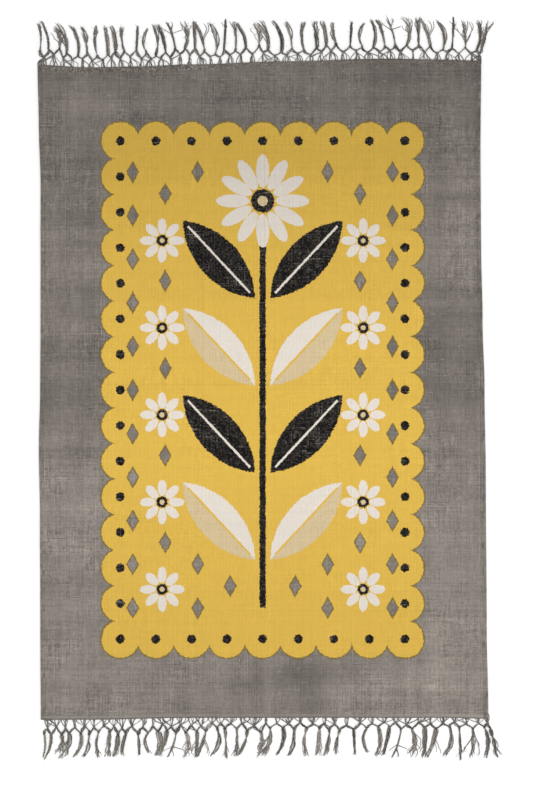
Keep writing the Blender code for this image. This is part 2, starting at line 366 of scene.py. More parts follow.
class Graph:
    """The node tree of one material, with the few nodes that the rug's finishes are made of."""

    sheen_roughness: float = 0.6

    def __init__(self, name: str, roughness: float, sheen: float, specular: float) -> None:
        """Starts a material with one matt cloth shader.

        Args:
            name: The material's name.
            roughness: The shader's roughness.
            sheen: The weight of the fibre sheen.
            specular: The shader's specular level.
        """
        self.material = bpy.data.materials.new(name)
        self.material.use_nodes = True
        self.tree = self.material.node_tree
        self.shader = self.tree.nodes["Principled BSDF"]
        constants = {"Roughness": roughness, "Specular IOR Level": specular, "Sheen Weight": sheen,
                     "Sheen Roughness": self.sheen_roughness}
        for socket, value in constants.items():
            self.shader.inputs[socket].default_value = value

    def feed(self, socket: bpy.types.NodeSocket, value: object) -> None:
        """Links a field to an input, or sets a constant on it.

        Args:
            socket: The input.
            value: The field, number or colour.
        """
        if isinstance(value, Field):
            self.tree.links.new(value.socket, socket)
        else:
            socket.default_value = (*value, 1.0) if isinstance(value, tuple) else value

    def node(self, kind: str, inputs: dict | Sequence = (), **settings: object) -> bpy.types.Node:
        """Adds a node.

        Args:
            kind: The node type's name after "ShaderNode".
            inputs: What its inputs get, in order, or by name or number.
            **settings: Properties to set on it.

        Returns:
            The new node.
        """
        node = self.tree.nodes.new("ShaderNode" + kind)
        for name, value in settings.items():
            setattr(node, name, value)
        for key, value in inputs.items() if isinstance(inputs, dict) else enumerate(inputs):
            self.feed(node.inputs[key], value)
        return node

    def out(self, kind: str, inputs: dict | Sequence = (), output: int | str = 0,
            **settings: object) -> Field:
        """One output of a new node, whose kind, inputs and settings are as for node."""
        return Field(self, self.node(kind, inputs, **settings).outputs[output])

    def math(self, operation: str, *values: Number) -> Field:
        """A Math node on up to three numbers."""
        return self.out("Math", values, operation=operation)

    def point(self, x: Number, y: Number, z: Number = 0.0) -> Field:
        """Three numbers as one vector. Another z gives a noise on x and y a pattern of its own."""
        return self.out("CombineXYZ", (x, y, z))

    def curve(self, value: Field, stops: Stops) -> Field:
        """A soft curve through stops.

        Args:
            value: What it is read at, from 0 to 1.
            stops: Pairs of place and value, the values from 0 to 2.

        Returns:
            The curve's value.
        """
        node = self.node("ValToRGB", (value,))
        ramp = node.color_ramp
        ramp.interpolation = "EASE"
        for element, (place, _) in zip(ramp.elements, (stops[0], stops[-1])):
            element.position = place
        for place, _ in stops[1:-1]:
            ramp.elements.new(place)
        for element, (_, shade) in zip(ramp.elements, stops):
            element.color = (shade / 2.0, shade / 2.0, shade / 2.0, 1.0)
        return Field(self, node.outputs["Color"]) * 2.0

    def noise(self, place: Field, scale: float, detail: float = 1.0) -> Field:
        """Smooth noise between about 0.2 and 0.8."""
        inputs = {"Vector": place, "Scale": scale, "Detail": detail}
        return self.out("TexNoise", inputs, "Fac", noise_dimensions="3D")

    def chance(self, *place: Number) -> Field:
        """A number from 0 to 1 for each place, unlike its neighbours'."""
        return self.out("TexWhiteNoise", {"Vector": self.point(*place)}, "Value", noise_dimensions="3D")

    def blend(self, factor: Number, first: object, second: object) -> Field:
        """Mixes two colours: the first where the factor is 0 and the second where it is 1."""
        return self.out("Mix", {0: factor, 6: first, 7: second}, 2, data_type="RGBA", clamp_factor=True)

    def shade(self, colour: Field, strength: Field) -> Field:
        """Multiplies a colour by a number."""
        return self.out("VectorMath", {0: colour, "Scale": strength}, operation="SCALE")

    def parts(self, vector: Field) -> tuple[Field, ...]:
        """The three numbers of a vector."""
        return tuple(Field(self, output) for output in self.node("SeparateXYZ", (vector,)).outputs)

    def place(self) -> tuple[Field, ...]:
        """The Object coordinates of the surface."""
        return self.parts(self.out("TexCoord", output="Object"))

    def map(self, name: str) -> tuple[Field, ...]:
        """The two numbers of a UV map."""
        return self.parts(self.out("UVMap", uv_map=name))[:2]

    def attribute(self, name: str) -> Field:
        """A number that the mesh carries."""
        return self.out("Attribute", output="Fac", attribute_name=name)

    def finish(self, colour: Field, height: Field | None = None, distance: float = 0.0,
               strength: float = 1.0) -> bpy.types.Material:
        """Feeds the shader.

        Args:
            colour: The base colour.
            height: The height for the bump, from 0 to 1, or None for none.
            distance: The height that 1 stands for.
            strength: How strongly the bump shows.

        Returns:
            The finished material.
        """
        self.feed(self.shader.inputs["Base Color"], colour)
        if height is not None:
            bump = self.out("Bump", {"Distance": distance, "Strength": strength, "Height": height})
            self.feed(self.shader.inputs["Normal"], bump)
        return self.material


# ---- Finishes ----


@dataclass(frozen=True)
class CreaseShade:
    """A painted shade line along a fold: its place on one side of the cloth and its run along the other, as
    shares.
    """

    place: float
    start: float
    end: float
    strength: float


@dataclass(frozen=True)
class Palette:
    """The colours of the yarn and the print, as linear reflectance."""

    ground: Colour = (0.182, 0.161, 0.142)
    ground_pale: Colour = (0.300, 0.272, 0.246)
    ground_dark: Colour = (0.085, 0.074, 0.065)
    mustard: Colour = (0.640, 0.412, 0.070)
    overlap: Colour = (0.165, 0.120, 0.034)
    cream: Colour = (0.680, 0.618, 0.548)
    beige: Colour = (0.578, 0.455, 0.268)
    charcoal: Colour = (0.0045, 0.0038, 0.0034)
    yarn_dark: Colour = (0.060, 0.053, 0.045)
    yarn_pale: Colour = (0.375, 0.340, 0.299)
    heading_dark: Colour = (0.058, 0.042, 0.032)
    floor: Colour = (0.990, 0.990, 0.990)


@dataclass(frozen=True)
class WeaveFields:
    """What the weave gives a finish: its relief, its cells, and how uneven its warp and weft are."""

    height: Field
    column: Field
    row: Field
    warp_tone: Field
    weft_tone: Field
    unevenness: Field
    fleck: Field
    speck: Field


@dataclass(frozen=True)
class Weave:
    """The plain weave of the cloth: warp yarns along Y, weft yarns along X, each crossing one cell.

    The yarns wander a little, at the drift scales. A chance is how unlike neighbouring yarns are, a slub how
    unlike one yarn is along its length, the bands are stretches of like wefts, and the grain is how unlike
    single cells are. A pair of limits gives the noise at which something starts and is full.
    """

    warp_pitch: float = 0.0031
    weft_pitch: float = 0.0024
    wander: float = 0.0034
    warp_drift_scale: float = 6.5
    weft_drift_scale: float = 5.0
    warp_chance: float = 0.24
    weft_chance: float = 0.27
    warp_slub: float = 1.00
    weft_slub: float = 0.98
    warp_slub_scales: Pair = (5.13, 32.0)
    weft_slub_scales: Pair = (30.0, 3.71)
    band: float = 0.34
    band_scales: Pair = (1.2, 34.0)
    pairing: float = 0.10
    grain: float = 0.24
    rough_scale: float = 11.0
    rough_limits: Pair = (0.40, 0.66)
    unevenness: Pair = (0.76, 1.42)
    fleck_limits: Pair = (0.64, 0.80)
    speck_share: float = 0.006

    def fields(self, x: Field, y: Field) -> WeaveFields:
        """Builds the weave.

        Args:
            x: The place across the cloth.
            y: The place along the cloth.

        Returns:
            The fields of the weave.
        """
        graph = x.graph
        warp_drift = graph.noise(graph.point(x, y), self.warp_drift_scale) * self.wander
        weft_drift = graph.noise(graph.point(x, y, 3.7), self.weft_drift_scale) * self.wander
        across, along = (x + warp_drift) / self.warp_pitch, (y + weft_drift) / self.weft_pitch
        column, row = across.floor(), along.floor()
        in_column = (across - column - 0.5) * 2.0
        in_row = (along - row - 0.5) * 2.0
        warp = (along - 0.5 + column).wave(2.0) * (1.0 - in_column * in_column)
        weft = (across + 0.5 + row).wave(2.0) * (1.0 - in_row * in_row)
        warp_x, warp_y = self.warp_slub_scales
        weft_x, weft_y = self.weft_slub_scales
        band_x, band_y = self.band_scales
        warp_slub = graph.noise(graph.point(column * warp_x, y * warp_y, 9.0), 1.0)
        weft_slub = graph.noise(graph.point(x * weft_x, row * weft_y), 1.0)
        bands = graph.noise(graph.point(x * band_x, y * band_y, 4.0), 1.0, 2.0)
        grain = graph.chance(column, row, 17.0).swing(self.grain)
        warp_tone = graph.chance(column, 7.5).swing(self.warp_chance) + warp_slub.swing(self.warp_slub)
        warp_tone = warp_tone + column.odd().swing(self.pairing) + grain
        weft_tone = graph.chance(row, 0.5).swing(self.weft_chance) + weft_slub.swing(self.weft_slub)
        weft_tone = weft_tone + bands.swing(self.band) + grain
        rough = graph.noise(graph.point(x, y, 8.4), self.rough_scale, 2.0)
        least, most = self.unevenness
        unevenness = rough.step(*self.rough_limits) * (most - least) + least
        fleck = weft_slub.step(*self.fleck_limits)
        speck = graph.chance((column / 2.0).floor(), row, 13.0).above(1.0 - self.speck_share)
        return WeaveFields(warp.most(weft), column, row, warp_tone, weft_tone, unevenness, fleck, speck)


@dataclass(frozen=True)
class Spot:
    """A spot of the cloth: its place from the middle, its share of the length and its weave."""

    graph: Graph
    x: Field
    y: Field
    share: Field
    weave: WeaveFields


@dataclass(frozen=True)
class PrintFields:
    """Signed distances to the motifs of the print, below 0 inside each."""

    panel: Field
    dots: Field
    stem: Field
    pale_leaf: Field
    dark_leaf: Field
    vein: Field
    lower_half: Field
    petals: Field
    eye: Field
    pip: Field
    mark: Field


@dataclass(frozen=True)
class Print:
    """The print: a scalloped panel with a leafy stem, daisies beside it and small diamonds between.

    The design is plain and generic. Its scale and colours are those of the pictured kind of rug.
    """

    scallop: float = 0.0800
    scallops_across: int = 4
    scallops_along: int = 7
    scallop_radius: float = 0.0437
    dot_radius: float = 0.0100
    stem_half_width: float = 0.0070
    stem_low: float = -0.490
    stem_high: float = 0.360
    leaf_first: float = -0.400
    leaf_step: float = 0.196
    leaf_pairs: int = 4
    leaf_angle: float = 43.0
    leaf_middle: float = 0.144
    leaf_half_length: float = 0.119
    leaf_half_width: float = 0.045
    vein_half_width: float = 0.0024
    vein_share: float = 0.86
    daisy_across: float = 0.226
    daisy_first: float = -0.448
    daisy_count: int = 5
    daisy_radius: float = 0.050
    crown_y: float = 0.425
    crown_radius: float = 0.105
    petals: int = 8
    crown_petals: int = 12
    petal_middle: float = 0.64
    petal_half_length: float = 0.36
    eye_radius: float = 0.25
    pip_inset: float = 0.14
    mark_step: Pair = (0.0730, 0.0980)
    mark_half: Pair = (0.0130, 0.0225)
    mark_slope: float = 0.9
    mark_clear: float = 0.0205
    mark_edge_clear: float = 0.0060
    far_off: float = 1.0

    def _panel(self, x: Field, y: Field) -> tuple[Field, Field]:
        """The panel, a box with a round scallop on each step of its sides.

        Args:
            x: How far across from the middle.
            y: How far along from the middle.

        Returns:
            The distances to the panel and to the dots in its scallops.
        """
        across, along = self.scallops_across, self.scallops_along
        to_side, to_end = abs(x) - self.scallop * across, abs(y) - self.scallop * along
        step_x = x.nearest(self.scallop).kept_within(-across, across)
        step_y = y.nearest(self.scallop).kept_within(-along, along)
        side = to_side.span(y - step_y * self.scallop)
        end = (x - step_x * self.scallop).span(to_end)
        nearest = side.least(end)
        return to_side.most(to_end).least(nearest - self.scallop_radius), nearest - self.dot_radius

    def _stem(self, x: Field, y: Field) -> Field:
        """The distance to the stem, an upright bar."""
        middle, half = (self.stem_low + self.stem_high) / 2, (self.stem_high - self.stem_low) / 2
        return (abs(x) - self.stem_half_width).most(abs(y - middle) - half)

    def _leaf(self, x: Field, y: Field) -> tuple[Field, Field, Field, Field]:
        """The paired leaves, each between two arcs.

        Args:
            x: How far across from the middle.
            y: How far along from the middle.

        Returns:
            The distances to the leaf and its vein, the distance above the vein, and the pair's number.
        """
        angle = math.radians(self.leaf_angle)
        sine, cosine = math.sin(angle), math.cos(angle)
        side = abs(x)
        pair = (y - side * (cosine / sine) - self.leaf_first).nearest(self.leaf_step)
        pair = pair.kept_within(0.0, self.leaf_pairs - 1.0)
        up = y - (pair * self.leaf_step + self.leaf_first)
        along = side * sine + up * cosine - self.leaf_middle
        aside = up * sine - side * cosine
        length, width = self.leaf_half_length, self.leaf_half_width
        arc = (length * length + width * width) / (2.0 * width)
        leaf = along.span(abs(aside) + (arc - width)) - arc
        vein = (abs(aside) - self.vein_half_width).most(abs(along) - length * self.vein_share)
        return leaf, vein, aside, pair

    def _daisy(self, x: Field, y: Field, radius: float, petals: int) -> tuple[Field, ...]:
        """A daisy about the origin.

        Args:
            x: The place across from its middle.
            y: The place along from its middle.
            radius: Its radius.
            petals: How many petals it has.

        Returns:
            The distances to its petals, its eye and the pip in the eye.
        """
        turn = y.math("ARCTAN2", x) * (petals / FULL_TURN)
        aside = abs(turn - (turn + 0.5).floor()) * (FULL_TURN / petals)
        distance = x.span(y)
        across, out = aside.math("SINE") * distance, aside.cosine() * distance
        slimness = 0.19 * petals + 0.28
        petal = (out - radius * self.petal_middle).span(across * slimness)
        eye = distance - radius * self.eye_radius
        return petal - radius * self.petal_half_length, eye, eye + radius * self.pip_inset

    def _from_daisy(self, x: Field, y: Field) -> tuple[Field, Field]:
        """Where a point lies from the middle of the nearest small daisy."""
        place = (y - self.daisy_first).nearest(self.leaf_step).kept_within(0.0, self.daisy_count - 1.0)
        return abs(x) - self.daisy_across, y - (place * self.leaf_step + self.daisy_first)

    def _marks(self, x: Field, y: Field) -> Field:
        """Small diamonds in a half-drop lattice, each left out where it would touch a larger motif.

        Args:
            x: How far across from the middle.
            y: How far along from the middle.

        Returns:
            The distance to the nearest diamond.
        """
        step_x, step_y = self.mark_step
        column = x.nearest(step_x)
        drop = column.odd() * (step_y / 2.0)
        row = (y - drop).nearest(step_y)
        middle_x, middle_y = column * step_x, row * step_y + drop
        half_x, half_y = self.mark_half
        reach = abs(x - middle_x) / half_x + abs(y - middle_y) / half_y
        diamond = (reach - 1.0) * (half_x * self.mark_slope)
        leaf = self._leaf(middle_x, middle_y)[0]
        from_x, from_y = self._from_daisy(middle_x, middle_y)
        small = from_x.span(from_y) - self.daisy_radius
        crown = middle_x.span(middle_y - self.crown_y) - self.crown_radius
        stem = self._stem(middle_x, middle_y)
        to_side = self.scallop * self.scallops_across - abs(middle_x)
        to_end = self.scallop * self.scallops_along - abs(middle_y)
        edge = to_side.least(to_end) - self.mark_edge_clear
        clear = leaf.least(small).least(crown).least(stem).least(edge) - self.mark_clear
        return diamond + (1.0 - clear.above(0.0)) * self.far_off

    def fields(self, x: Field, y: Field) -> PrintFields:
        """Builds the print's motifs about the middle of the cloth.

        Args:
            x: How far across from the middle.
            y: How far along from the middle.

        Returns:
            The signed distances to the motifs.
        """
        panel, dots = self._panel(x, y)
        leaf, vein, lower_half, pair = self._leaf(x, y)
        small = self._daisy(*self._from_daisy(x, y), self.daisy_radius, self.petals)
        crown = self._daisy(x, y - self.crown_y, self.crown_radius, self.crown_petals)
        petals, eye, pip = (one.least(other) for one, other in zip(small, crown))
        dark = pair.odd()
        return PrintFields(
            panel=panel, dots=dots, stem=self._stem(x, y), vein=vein, lower_half=lower_half,
            pale_leaf=leaf + dark * self.far_off, dark_leaf=leaf + (1.0 - dark) * self.far_off,
            petals=petals, eye=eye, pip=pip, mark=self._marks(x, y),
        )


@dataclass(frozen=True)
class Borders:
    """The twined heading at the far end, the picks at the near end and the cords of the selvedges.

    A pair of reaches or limits is where something starts and where it is full. A pair of shares is how strong
    it is at the least and how much more at the most.
    """

    palette: Palette = Palette()
    # A darker band along the far end, away from the middle.
    far_dark_reach: Pair = (0.046, 0.014)
    far_dark_aside: Pair = (0.14, 0.25)
    far_dark_shade: float = 0.15
    twine_drift: float = 0.0030
    twine_inner: Pair = (0.0145, 0.0115)
    twine_outer: Pair = (0.0022, 0.0034)
    twine_aside: Pair = (0.02, -0.16)
    twine_shares: Pair = (0.38, 0.62)
    dark_dash_limits: Pair = (0.50, 0.70)
    dark_dash: float = 0.80
    pale_dash_limits: Pair = (0.30, 0.12)
    pale_dash: float = 0.65
    last_pick_reach: Pair = (0.0036, 0.0022)
    far_pick: float = 0.20
    near_pick: float = 0.56
    pale_pick_reach: Pair = (0.0105, 0.0070)
    pale_pick_aside: Pair = (0.20, 0.48)
    pale_pick_shares: Pair = (0.38, 0.45)
    cord_pitch: float = 0.0050
    cord_shade: float = 0.34
    turn_scale: float = 62.0
    turn_limits: Pair = (0.50, 0.72)
    turn_shade: float = 0.50
    grime_scale: float = 9.0
    grime_limits: Pair = (0.36, 0.58)
    grime_shares: Pair = (0.35, 0.75)
    selvedge_reach: Pair = (0.0125, 0.0100)
    pale_cord_reach: Pair = (0.0056, 0.0040)
    pale_turn_limits: Pair = (0.46, 0.30)
    pale_turn: float = 0.50

    @staticmethod
    def _share(value: Field, limits: Pair, shares: Pair) -> Field:
        """How strong something is, from its least share up to its least and its more together."""
        return value.step(*limits) * shares[1] + shares[0]

    def _far(self, spot: Spot, colour: Field) -> Field:
        """The heading at the far end, twined of dark and pale yarn, and a darker band along the far end away
        from the middle.

        Args:
            spot: The spot of the cloth.
            colour: Its colour so far.

        Returns:
            The colour with the heading.
        """
        palette, graph, weave, x = self.palette, spot.graph, spot.weave, spot.x
        to_far = graph.attribute("to_far")
        # Darker along the far end, away from the middle.
        wear_and_shade = to_far.step(*self.far_dark_reach) * abs(x).step(*self.far_dark_aside)
        colour = graph.shade(colour, 1.0 - wear_and_shade * self.far_dark_shade)
        dash = graph.chance(weave.column, weave.row, 5.0)
        drifted = to_far + graph.chance(weave.column, 3.0).swing(self.twine_drift)
        twine = drifted.step(*self.twine_inner) * drifted.step(*self.twine_outer)
        twine = twine * self._share(x, self.twine_aside, self.twine_shares)
        dark = twine * dash.step(*self.dark_dash_limits) * self.dark_dash
        pale = twine * dash.step(*self.pale_dash_limits) * self.pale_dash
        colour = graph.blend(dark, colour, palette.ground_dark)
        colour = graph.blend(pale, colour, palette.ground_pale)
        return graph.blend(to_far.step(*self.last_pick_reach) * self.far_pick, colour, palette.heading_dark)

    def _near(self, spot: Spot, colour: Field) -> Field:
        """The pale picks at the near end, and its dark last one.

        Args:
            spot: The spot of the cloth.
            colour: Its colour so far.

        Returns:
            The colour with the picks.
        """
        graph, to_near = spot.graph, spot.graph.attribute("to_near")
        share = self._share(spot.x, self.pale_pick_aside, self.pale_pick_shares)
        colour = graph.blend(to_near.step(*self.pale_pick_reach) * share, colour, self.palette.ground_pale)
        dark = to_near.step(*self.last_pick_reach) * self.near_pick
        return graph.blend(dark, colour, self.palette.heading_dark)

    def _sides(self, spot: Spot, colour: Field) -> Field:
        """The selvedges: cords of turned yarn, dark and grimy, the outermost one pale in places.

        Args:
            spot: The spot of the cloth.
            colour: Its colour so far.

        Returns:
            The colour with the selvedges.
        """
        graph, y = spot.graph, spot.y
        to_side, right = graph.attribute("to_side"), spot.x.above(0.0)
        number = (to_side / self.cord_pitch).floor() + right * 7.0
        turn = graph.noise(graph.point(y, number * 3.1, 11.0), self.turn_scale)
        grime = graph.noise(graph.point(y, right * 5.0, 12.0), self.grime_scale, 2.0)
        turned = turn.step(*self.turn_limits) * self.turn_shade
        dark = to_side.wave(self.cord_pitch) * self.cord_shade + turned
        dark = dark * self._share(grime, self.grime_limits, self.grime_shares)
        colour = graph.blend(to_side.step(*self.selvedge_reach) * dark, colour, self.palette.ground_dark)
        pale = to_side.step(*self.pale_cord_reach) * turn.step(*self.pale_turn_limits) * self.pale_turn
        return graph.blend(pale, colour, self.palette.ground_pale)

    def over(self, spot: Spot, colour: Field) -> Field:
        """The colour of the cloth with all its borders."""
        return self._sides(spot, self._near(spot, self._far(spot, colour)))


class ClothSide(Enum):
    """Which side of the cloth a finish is for. The value is how strongly the print shows there."""

    FACE = 1.0
    BACK = 0.16


@dataclass(frozen=True)
class ClothFinish:
    """The printed flat weave: yarn by yarn unevenness, print with worn edges, darker heading and selvedges,
    painted shade in its pits and along its folds, and painted light along its length.

    A pair of yarns is how strongly the warp's and the weft's unevenness shows in a colour. The shade tables
    run from the near end to the far one. lean_shades is the right side's; the left side's is its opposite.
    """

    palette: Palette = Palette()
    weave: Weave = Weave()
    print: Print = Print()
    borders: Borders = Borders()
    width: float = 1.000
    length: float = 1.473
    # Painted shade lines along the folds of storage.
    crease_shades_along: tuple[CreaseShade, ...] = (
        CreaseShade(0.505, 0.36, 0.93, 1.0), CreaseShade(0.366, 0.42, 0.77, 0.8), CreaseShade(0.700, 0.30, 0.62, 0.4),
    )
    crease_shades_across: tuple[CreaseShade, ...] = (CreaseShade(0.508, 0.13, 0.76, 0.8), CreaseShade(0.764, 0.74, 0.90, 0.8))
    crease_fade: float = 0.06
    crease_half: float = 0.0024
    painted_crease_shade: float = 0.10
    crease_scale: float = 24.0
    edge_stray: float = 0.0026
    edge_scale: float = 42.0
    fine_edge: float = 0.5
    mark_edge: float = 0.8
    overlap_half: float = 0.0017
    mark_overlap: float = 0.95
    overlap_cover: float = 0.86
    relief: float = 0.0007
    relief_strength: float = 0.75
    # Painted shade of the weave's pits.
    painted_pit_limits: Pair = (0.02, 0.62)
    painted_pit_shade: float = 0.30
    painted_pit_balance: float = 0.72
    ink_limits: Pair = (0.45, 1.6)
    ground_yarns: Pair = (0.60, 0.54)
    mustard_yarns: Pair = (0.15, 0.12)
    cream_yarns: Pair = (0.10, 0.09)
    beige_yarns: Pair = (0.16, 0.14)
    ground_level: float = 0.90
    cloud_scale: float = 4.0
    cloud_shade: float = 0.24
    cloud_shift: float = 0.14
    lot_scale: float = 19.0
    lot_stretch: float = 0.20
    lot_shade: float = 0.50
    bow_reach: Pair = (0.125, 0.060)
    bow_aside: Pair = (0.14, 0.40)
    bow_middle: float = -0.095
    bow_sides: float = 0.23
    fleck_cover: float = 0.24
    speck_cover: float = 0.55
    bare_limits: Pair = (-0.04, 0.62)
    bare_cover: float = 0.95
    crossing_limits: Pair = (0.45, 1.0)
    crossing_cover: float = 0.20
    bare_height: Pair = (0.0, 0.7)
    # Partly real dye-lot bands, partly painted light: darker towards the far end and across the middle fold.
    dye_lots_and_painted_light: Stops = (
        (0.02, 1.14), (0.10, 1.21), (0.18, 1.17), (0.26, 1.27), (0.34, 1.30), (0.43, 1.06), (0.50, 0.91),
        (0.60, 1.06), (0.67, 1.155), (0.80, 0.97), (0.89, 0.90), (0.98, 0.89),
    )
    lean_shades: Stops = (
        (0.03, 1.03), (0.10, 1.02), (0.24, 1.00), (0.31, 0.96), (0.42, 0.92), (0.47, 1.03), (0.54, 0.93),
        (0.60, 0.94), (0.66, 0.935), (0.72, 1.03), (0.82, 1.07), (0.90, 0.99), (0.955, 0.88),
    )
    # Painted light falloff on the inks: darker towards the far end and a little at the near end.
    print_painted_falloff: Stops = (
        (0.04, 0.96), (0.16, 0.99), (0.25, 1.03), (0.40, 1.085), (0.56, 1.075), (0.70, 1.00), (0.78, 0.93),
        (0.86, 0.85), (0.98, 0.81),
    )

    def material(self, side: ClothSide, middle: Vector) -> bpy.types.Material:
        """Makes the finish.

        Args:
            side: The face or the back.
            middle: The middle of the cloth, which the print is centred on.

        Returns:
            The material.
        """
        graph = Graph("printed_weave_" + side.name.lower(), roughness=0.93, sheen=0.03, specular=0.10)
        x, y, _ = graph.place()
        x, y = x - middle.x, y - middle.y
        weave = self.weave.fields(x, y)
        spot = Spot(graph, x, y, y / self.length + 0.5, weave)
        ground = self._ground(spot)
        colour = self._printed(spot, ground)
        if side is ClothSide.BACK:
            colour = graph.blend(side.value, ground, colour)
        colour = self.borders.over(spot, self._with_crease_shade(spot, colour))
        # Painted shade: darker in the weave's pits and a little lighter on its tops.
        painted_pit_mask = weave.height.step(*self.painted_pit_limits)
        colour = graph.shade(colour, painted_pit_mask * self.painted_pit_shade + (1.0 - self.painted_pit_shade * self.painted_pit_balance))
        return graph.finish(colour, weave.height, self.relief, self.relief_strength)

    def _ink(self, spot: Spot, colour: Colour, yarns: Pair) -> Field:
        """A colour with the unevenness of the yarns.

        Args:
            spot: The spot of the cloth.
            colour: The even colour.
            yarns: How strongly the warp and the weft show in it.

        Returns:
            The uneven colour.
        """
        graph, weave, (warp, weft) = spot.graph, spot.weave, yarns
        strength = (weave.warp_tone * warp + weave.weft_tone * weft) * weave.unevenness + 1.0
        return graph.shade(graph.blend(0.0, colour, colour), strength.kept_within(*self.ink_limits))

    def _ground(self, spot: Spot) -> Field:
        """The grey of the yarn itself: dyed in uneven lots, mottled and streaked both ways, with paler slubs,
        and painted light along its length.

        Args:
            spot: The spot of the cloth.

        Returns:
            The ground's colour.
        """
        graph, x, y, share, weave = spot.graph, spot.x, spot.y, spot.share, spot.weave
        cloud = graph.noise(graph.point(x, y, 1.3), self.cloud_scale, 1.5)
        lots_along = graph.noise(graph.point(x, y * self.lot_stretch, 6.1), self.lot_scale)
        lots_across = graph.noise(graph.point(x * self.lot_stretch, y, 7.9), self.lot_scale)
        lots = (lots_along + lots_across - 1.0) * self.lot_shade
        lean = (graph.curve(share, self.lean_shades) - 1.0) * x * 2.0
        bow = share.step(*self.bow_reach) * (abs(x).step(*self.bow_aside) * self.bow_sides + self.bow_middle)
        # Painted light along the length mixed with real dye-lot bands: darker towards the far end and across
        # the middle fold.
        shade = graph.curve(share + cloud.swing(self.cloud_shift), self.dye_lots_and_painted_light)
        shade = shade * (cloud * self.cloud_shade + lots + lean + bow + self.ground_level)
        colour = graph.shade(self._ink(spot, self.palette.ground, self.ground_yarns), shade)
        pale = (weave.fleck * self.fleck_cover).most(weave.speck * self.speck_cover)
        return graph.blend(pale, colour, self.palette.ground_pale)

    def _charcoal(self, spot: Spot) -> Field:
        """The charcoal ink, worn off the yarns that stand out most.

        Args:
            spot: The spot of the cloth.

        Returns:
            The ink's colour.
        """
        graph, weave = spot.graph, spot.weave
        bare = weave.weft_tone * 0.6 + weave.warp_tone * 0.5 + weave.fleck * 0.3
        crossing = graph.chance(weave.column, weave.row, 8.0).step(*self.crossing_limits)
        wear_and_shade = (bare * weave.unevenness).step(*self.bare_limits) * self.bare_cover
        wear_and_shade = wear_and_shade + crossing * self.crossing_cover
        wear_and_shade = wear_and_shade * weave.height.step(*self.bare_height)
        return graph.blend(wear_and_shade, self.palette.charcoal, self.palette.ground)

    def _printed(self, spot: Spot, ground: Field) -> Field:
        """The print over the ground, its inks ragged where the yarns carried them astray.

        Args:
            spot: The spot of the cloth.
            ground: The ground's colour.

        Returns:
            The printed colour.
        """
        graph, palette, motif = spot.graph, self.palette, self.print.fields(spot.x, spot.y)
        stray = graph.chance(spot.weave.column, spot.weave.row, 2.0).swing(self.edge_stray)
        ragged = stray + graph.noise(graph.point(spot.x, spot.y, 5.0), self.edge_scale).swing(self.edge_stray)
        # Painted light falloff on the inks: darker towards the far end and a little at the near end.
        fade = graph.curve(spot.share, self.print_painted_falloff)
        inks = ((palette.mustard, self.mustard_yarns), (palette.cream, self.cream_yarns),
                (palette.beige, self.beige_yarns))
        mustard, cream, beige = (graph.shade(self._ink(spot, *ink), fade) for ink in inks)
        charcoal = self._charcoal(spot)
        vein = (motif.vein + ragged * self.fine_edge).inside()
        pale = graph.blend(vein, graph.blend(motif.lower_half.inside(), cream, beige), mustard)
        dark = graph.blend(vein, charcoal, cream)
        panel, mark = motif.panel + ragged, motif.mark + ragged * self.mark_edge
        layers = (
            (panel, mustard), (mark, ground), (motif.stem + ragged, charcoal),
            (motif.pale_leaf + ragged, pale), (motif.dark_leaf + ragged, dark),
            (motif.petals + ragged, cream), (motif.eye + ragged, charcoal),
            (motif.pip + ragged * self.fine_edge, beige), (motif.dots + ragged, charcoal),
        )
        colour = ground
        for distance, ink in layers:
            colour = graph.blend(distance.inside(), colour, ink)
        rim = (abs(panel) - self.overlap_half).inside()
        rim = rim.most((abs(mark) - self.overlap_half * self.mark_overlap).inside())
        return graph.blend(rim * self.overlap_cover, colour, palette.overlap)

    def _with_crease_shade(self, spot: Spot, colour: Field) -> Field:
        """Painted shade: faint dark lines along the folds of storage, across the print.

        Args:
            spot: The spot of the cloth.
            colour: Its colour so far.

        Returns:
            The colour with the lines.
        """
        graph, x, share = spot.graph, spot.x, spot.share
        across = x / self.width + 0.5
        dark = self._lines(self.crease_shades_along, across, self.width, share)
        dark = dark.most(self._lines(self.crease_shades_across, share, self.length, across))
        # Painted shade along the folds, its strength varied by noise.
        wear_and_shade = graph.noise(graph.point(x, share, 2.6), self.crease_scale) + 0.5
        return graph.shade(colour, 1.0 - dark * wear_and_shade * self.painted_crease_shade)

    def _lines(self, creases: Sequence[CreaseShade], aside: Field, span: float, run: Field) -> Field:
        """How dark the painted crease shade of one direction is.

        Args:
            creases: The creases.
            aside: The share at which a point lies on the side that they cross.
            span: The length of that side.
            run: The share at which the point lies along them.

        Returns:
            Their darkness.
        """
        dark = aside * 0.0
        for crease in creases:
            line = (abs(aside - crease.place) * span).step(self.crease_half, 0.0)
            line = line * run.step(crease.start, crease.start + self.crease_fade)
            line = line * run.step(crease.end, crease.end - self.crease_fade)
            dark = dark.most(line * crease.strength)
        return dark


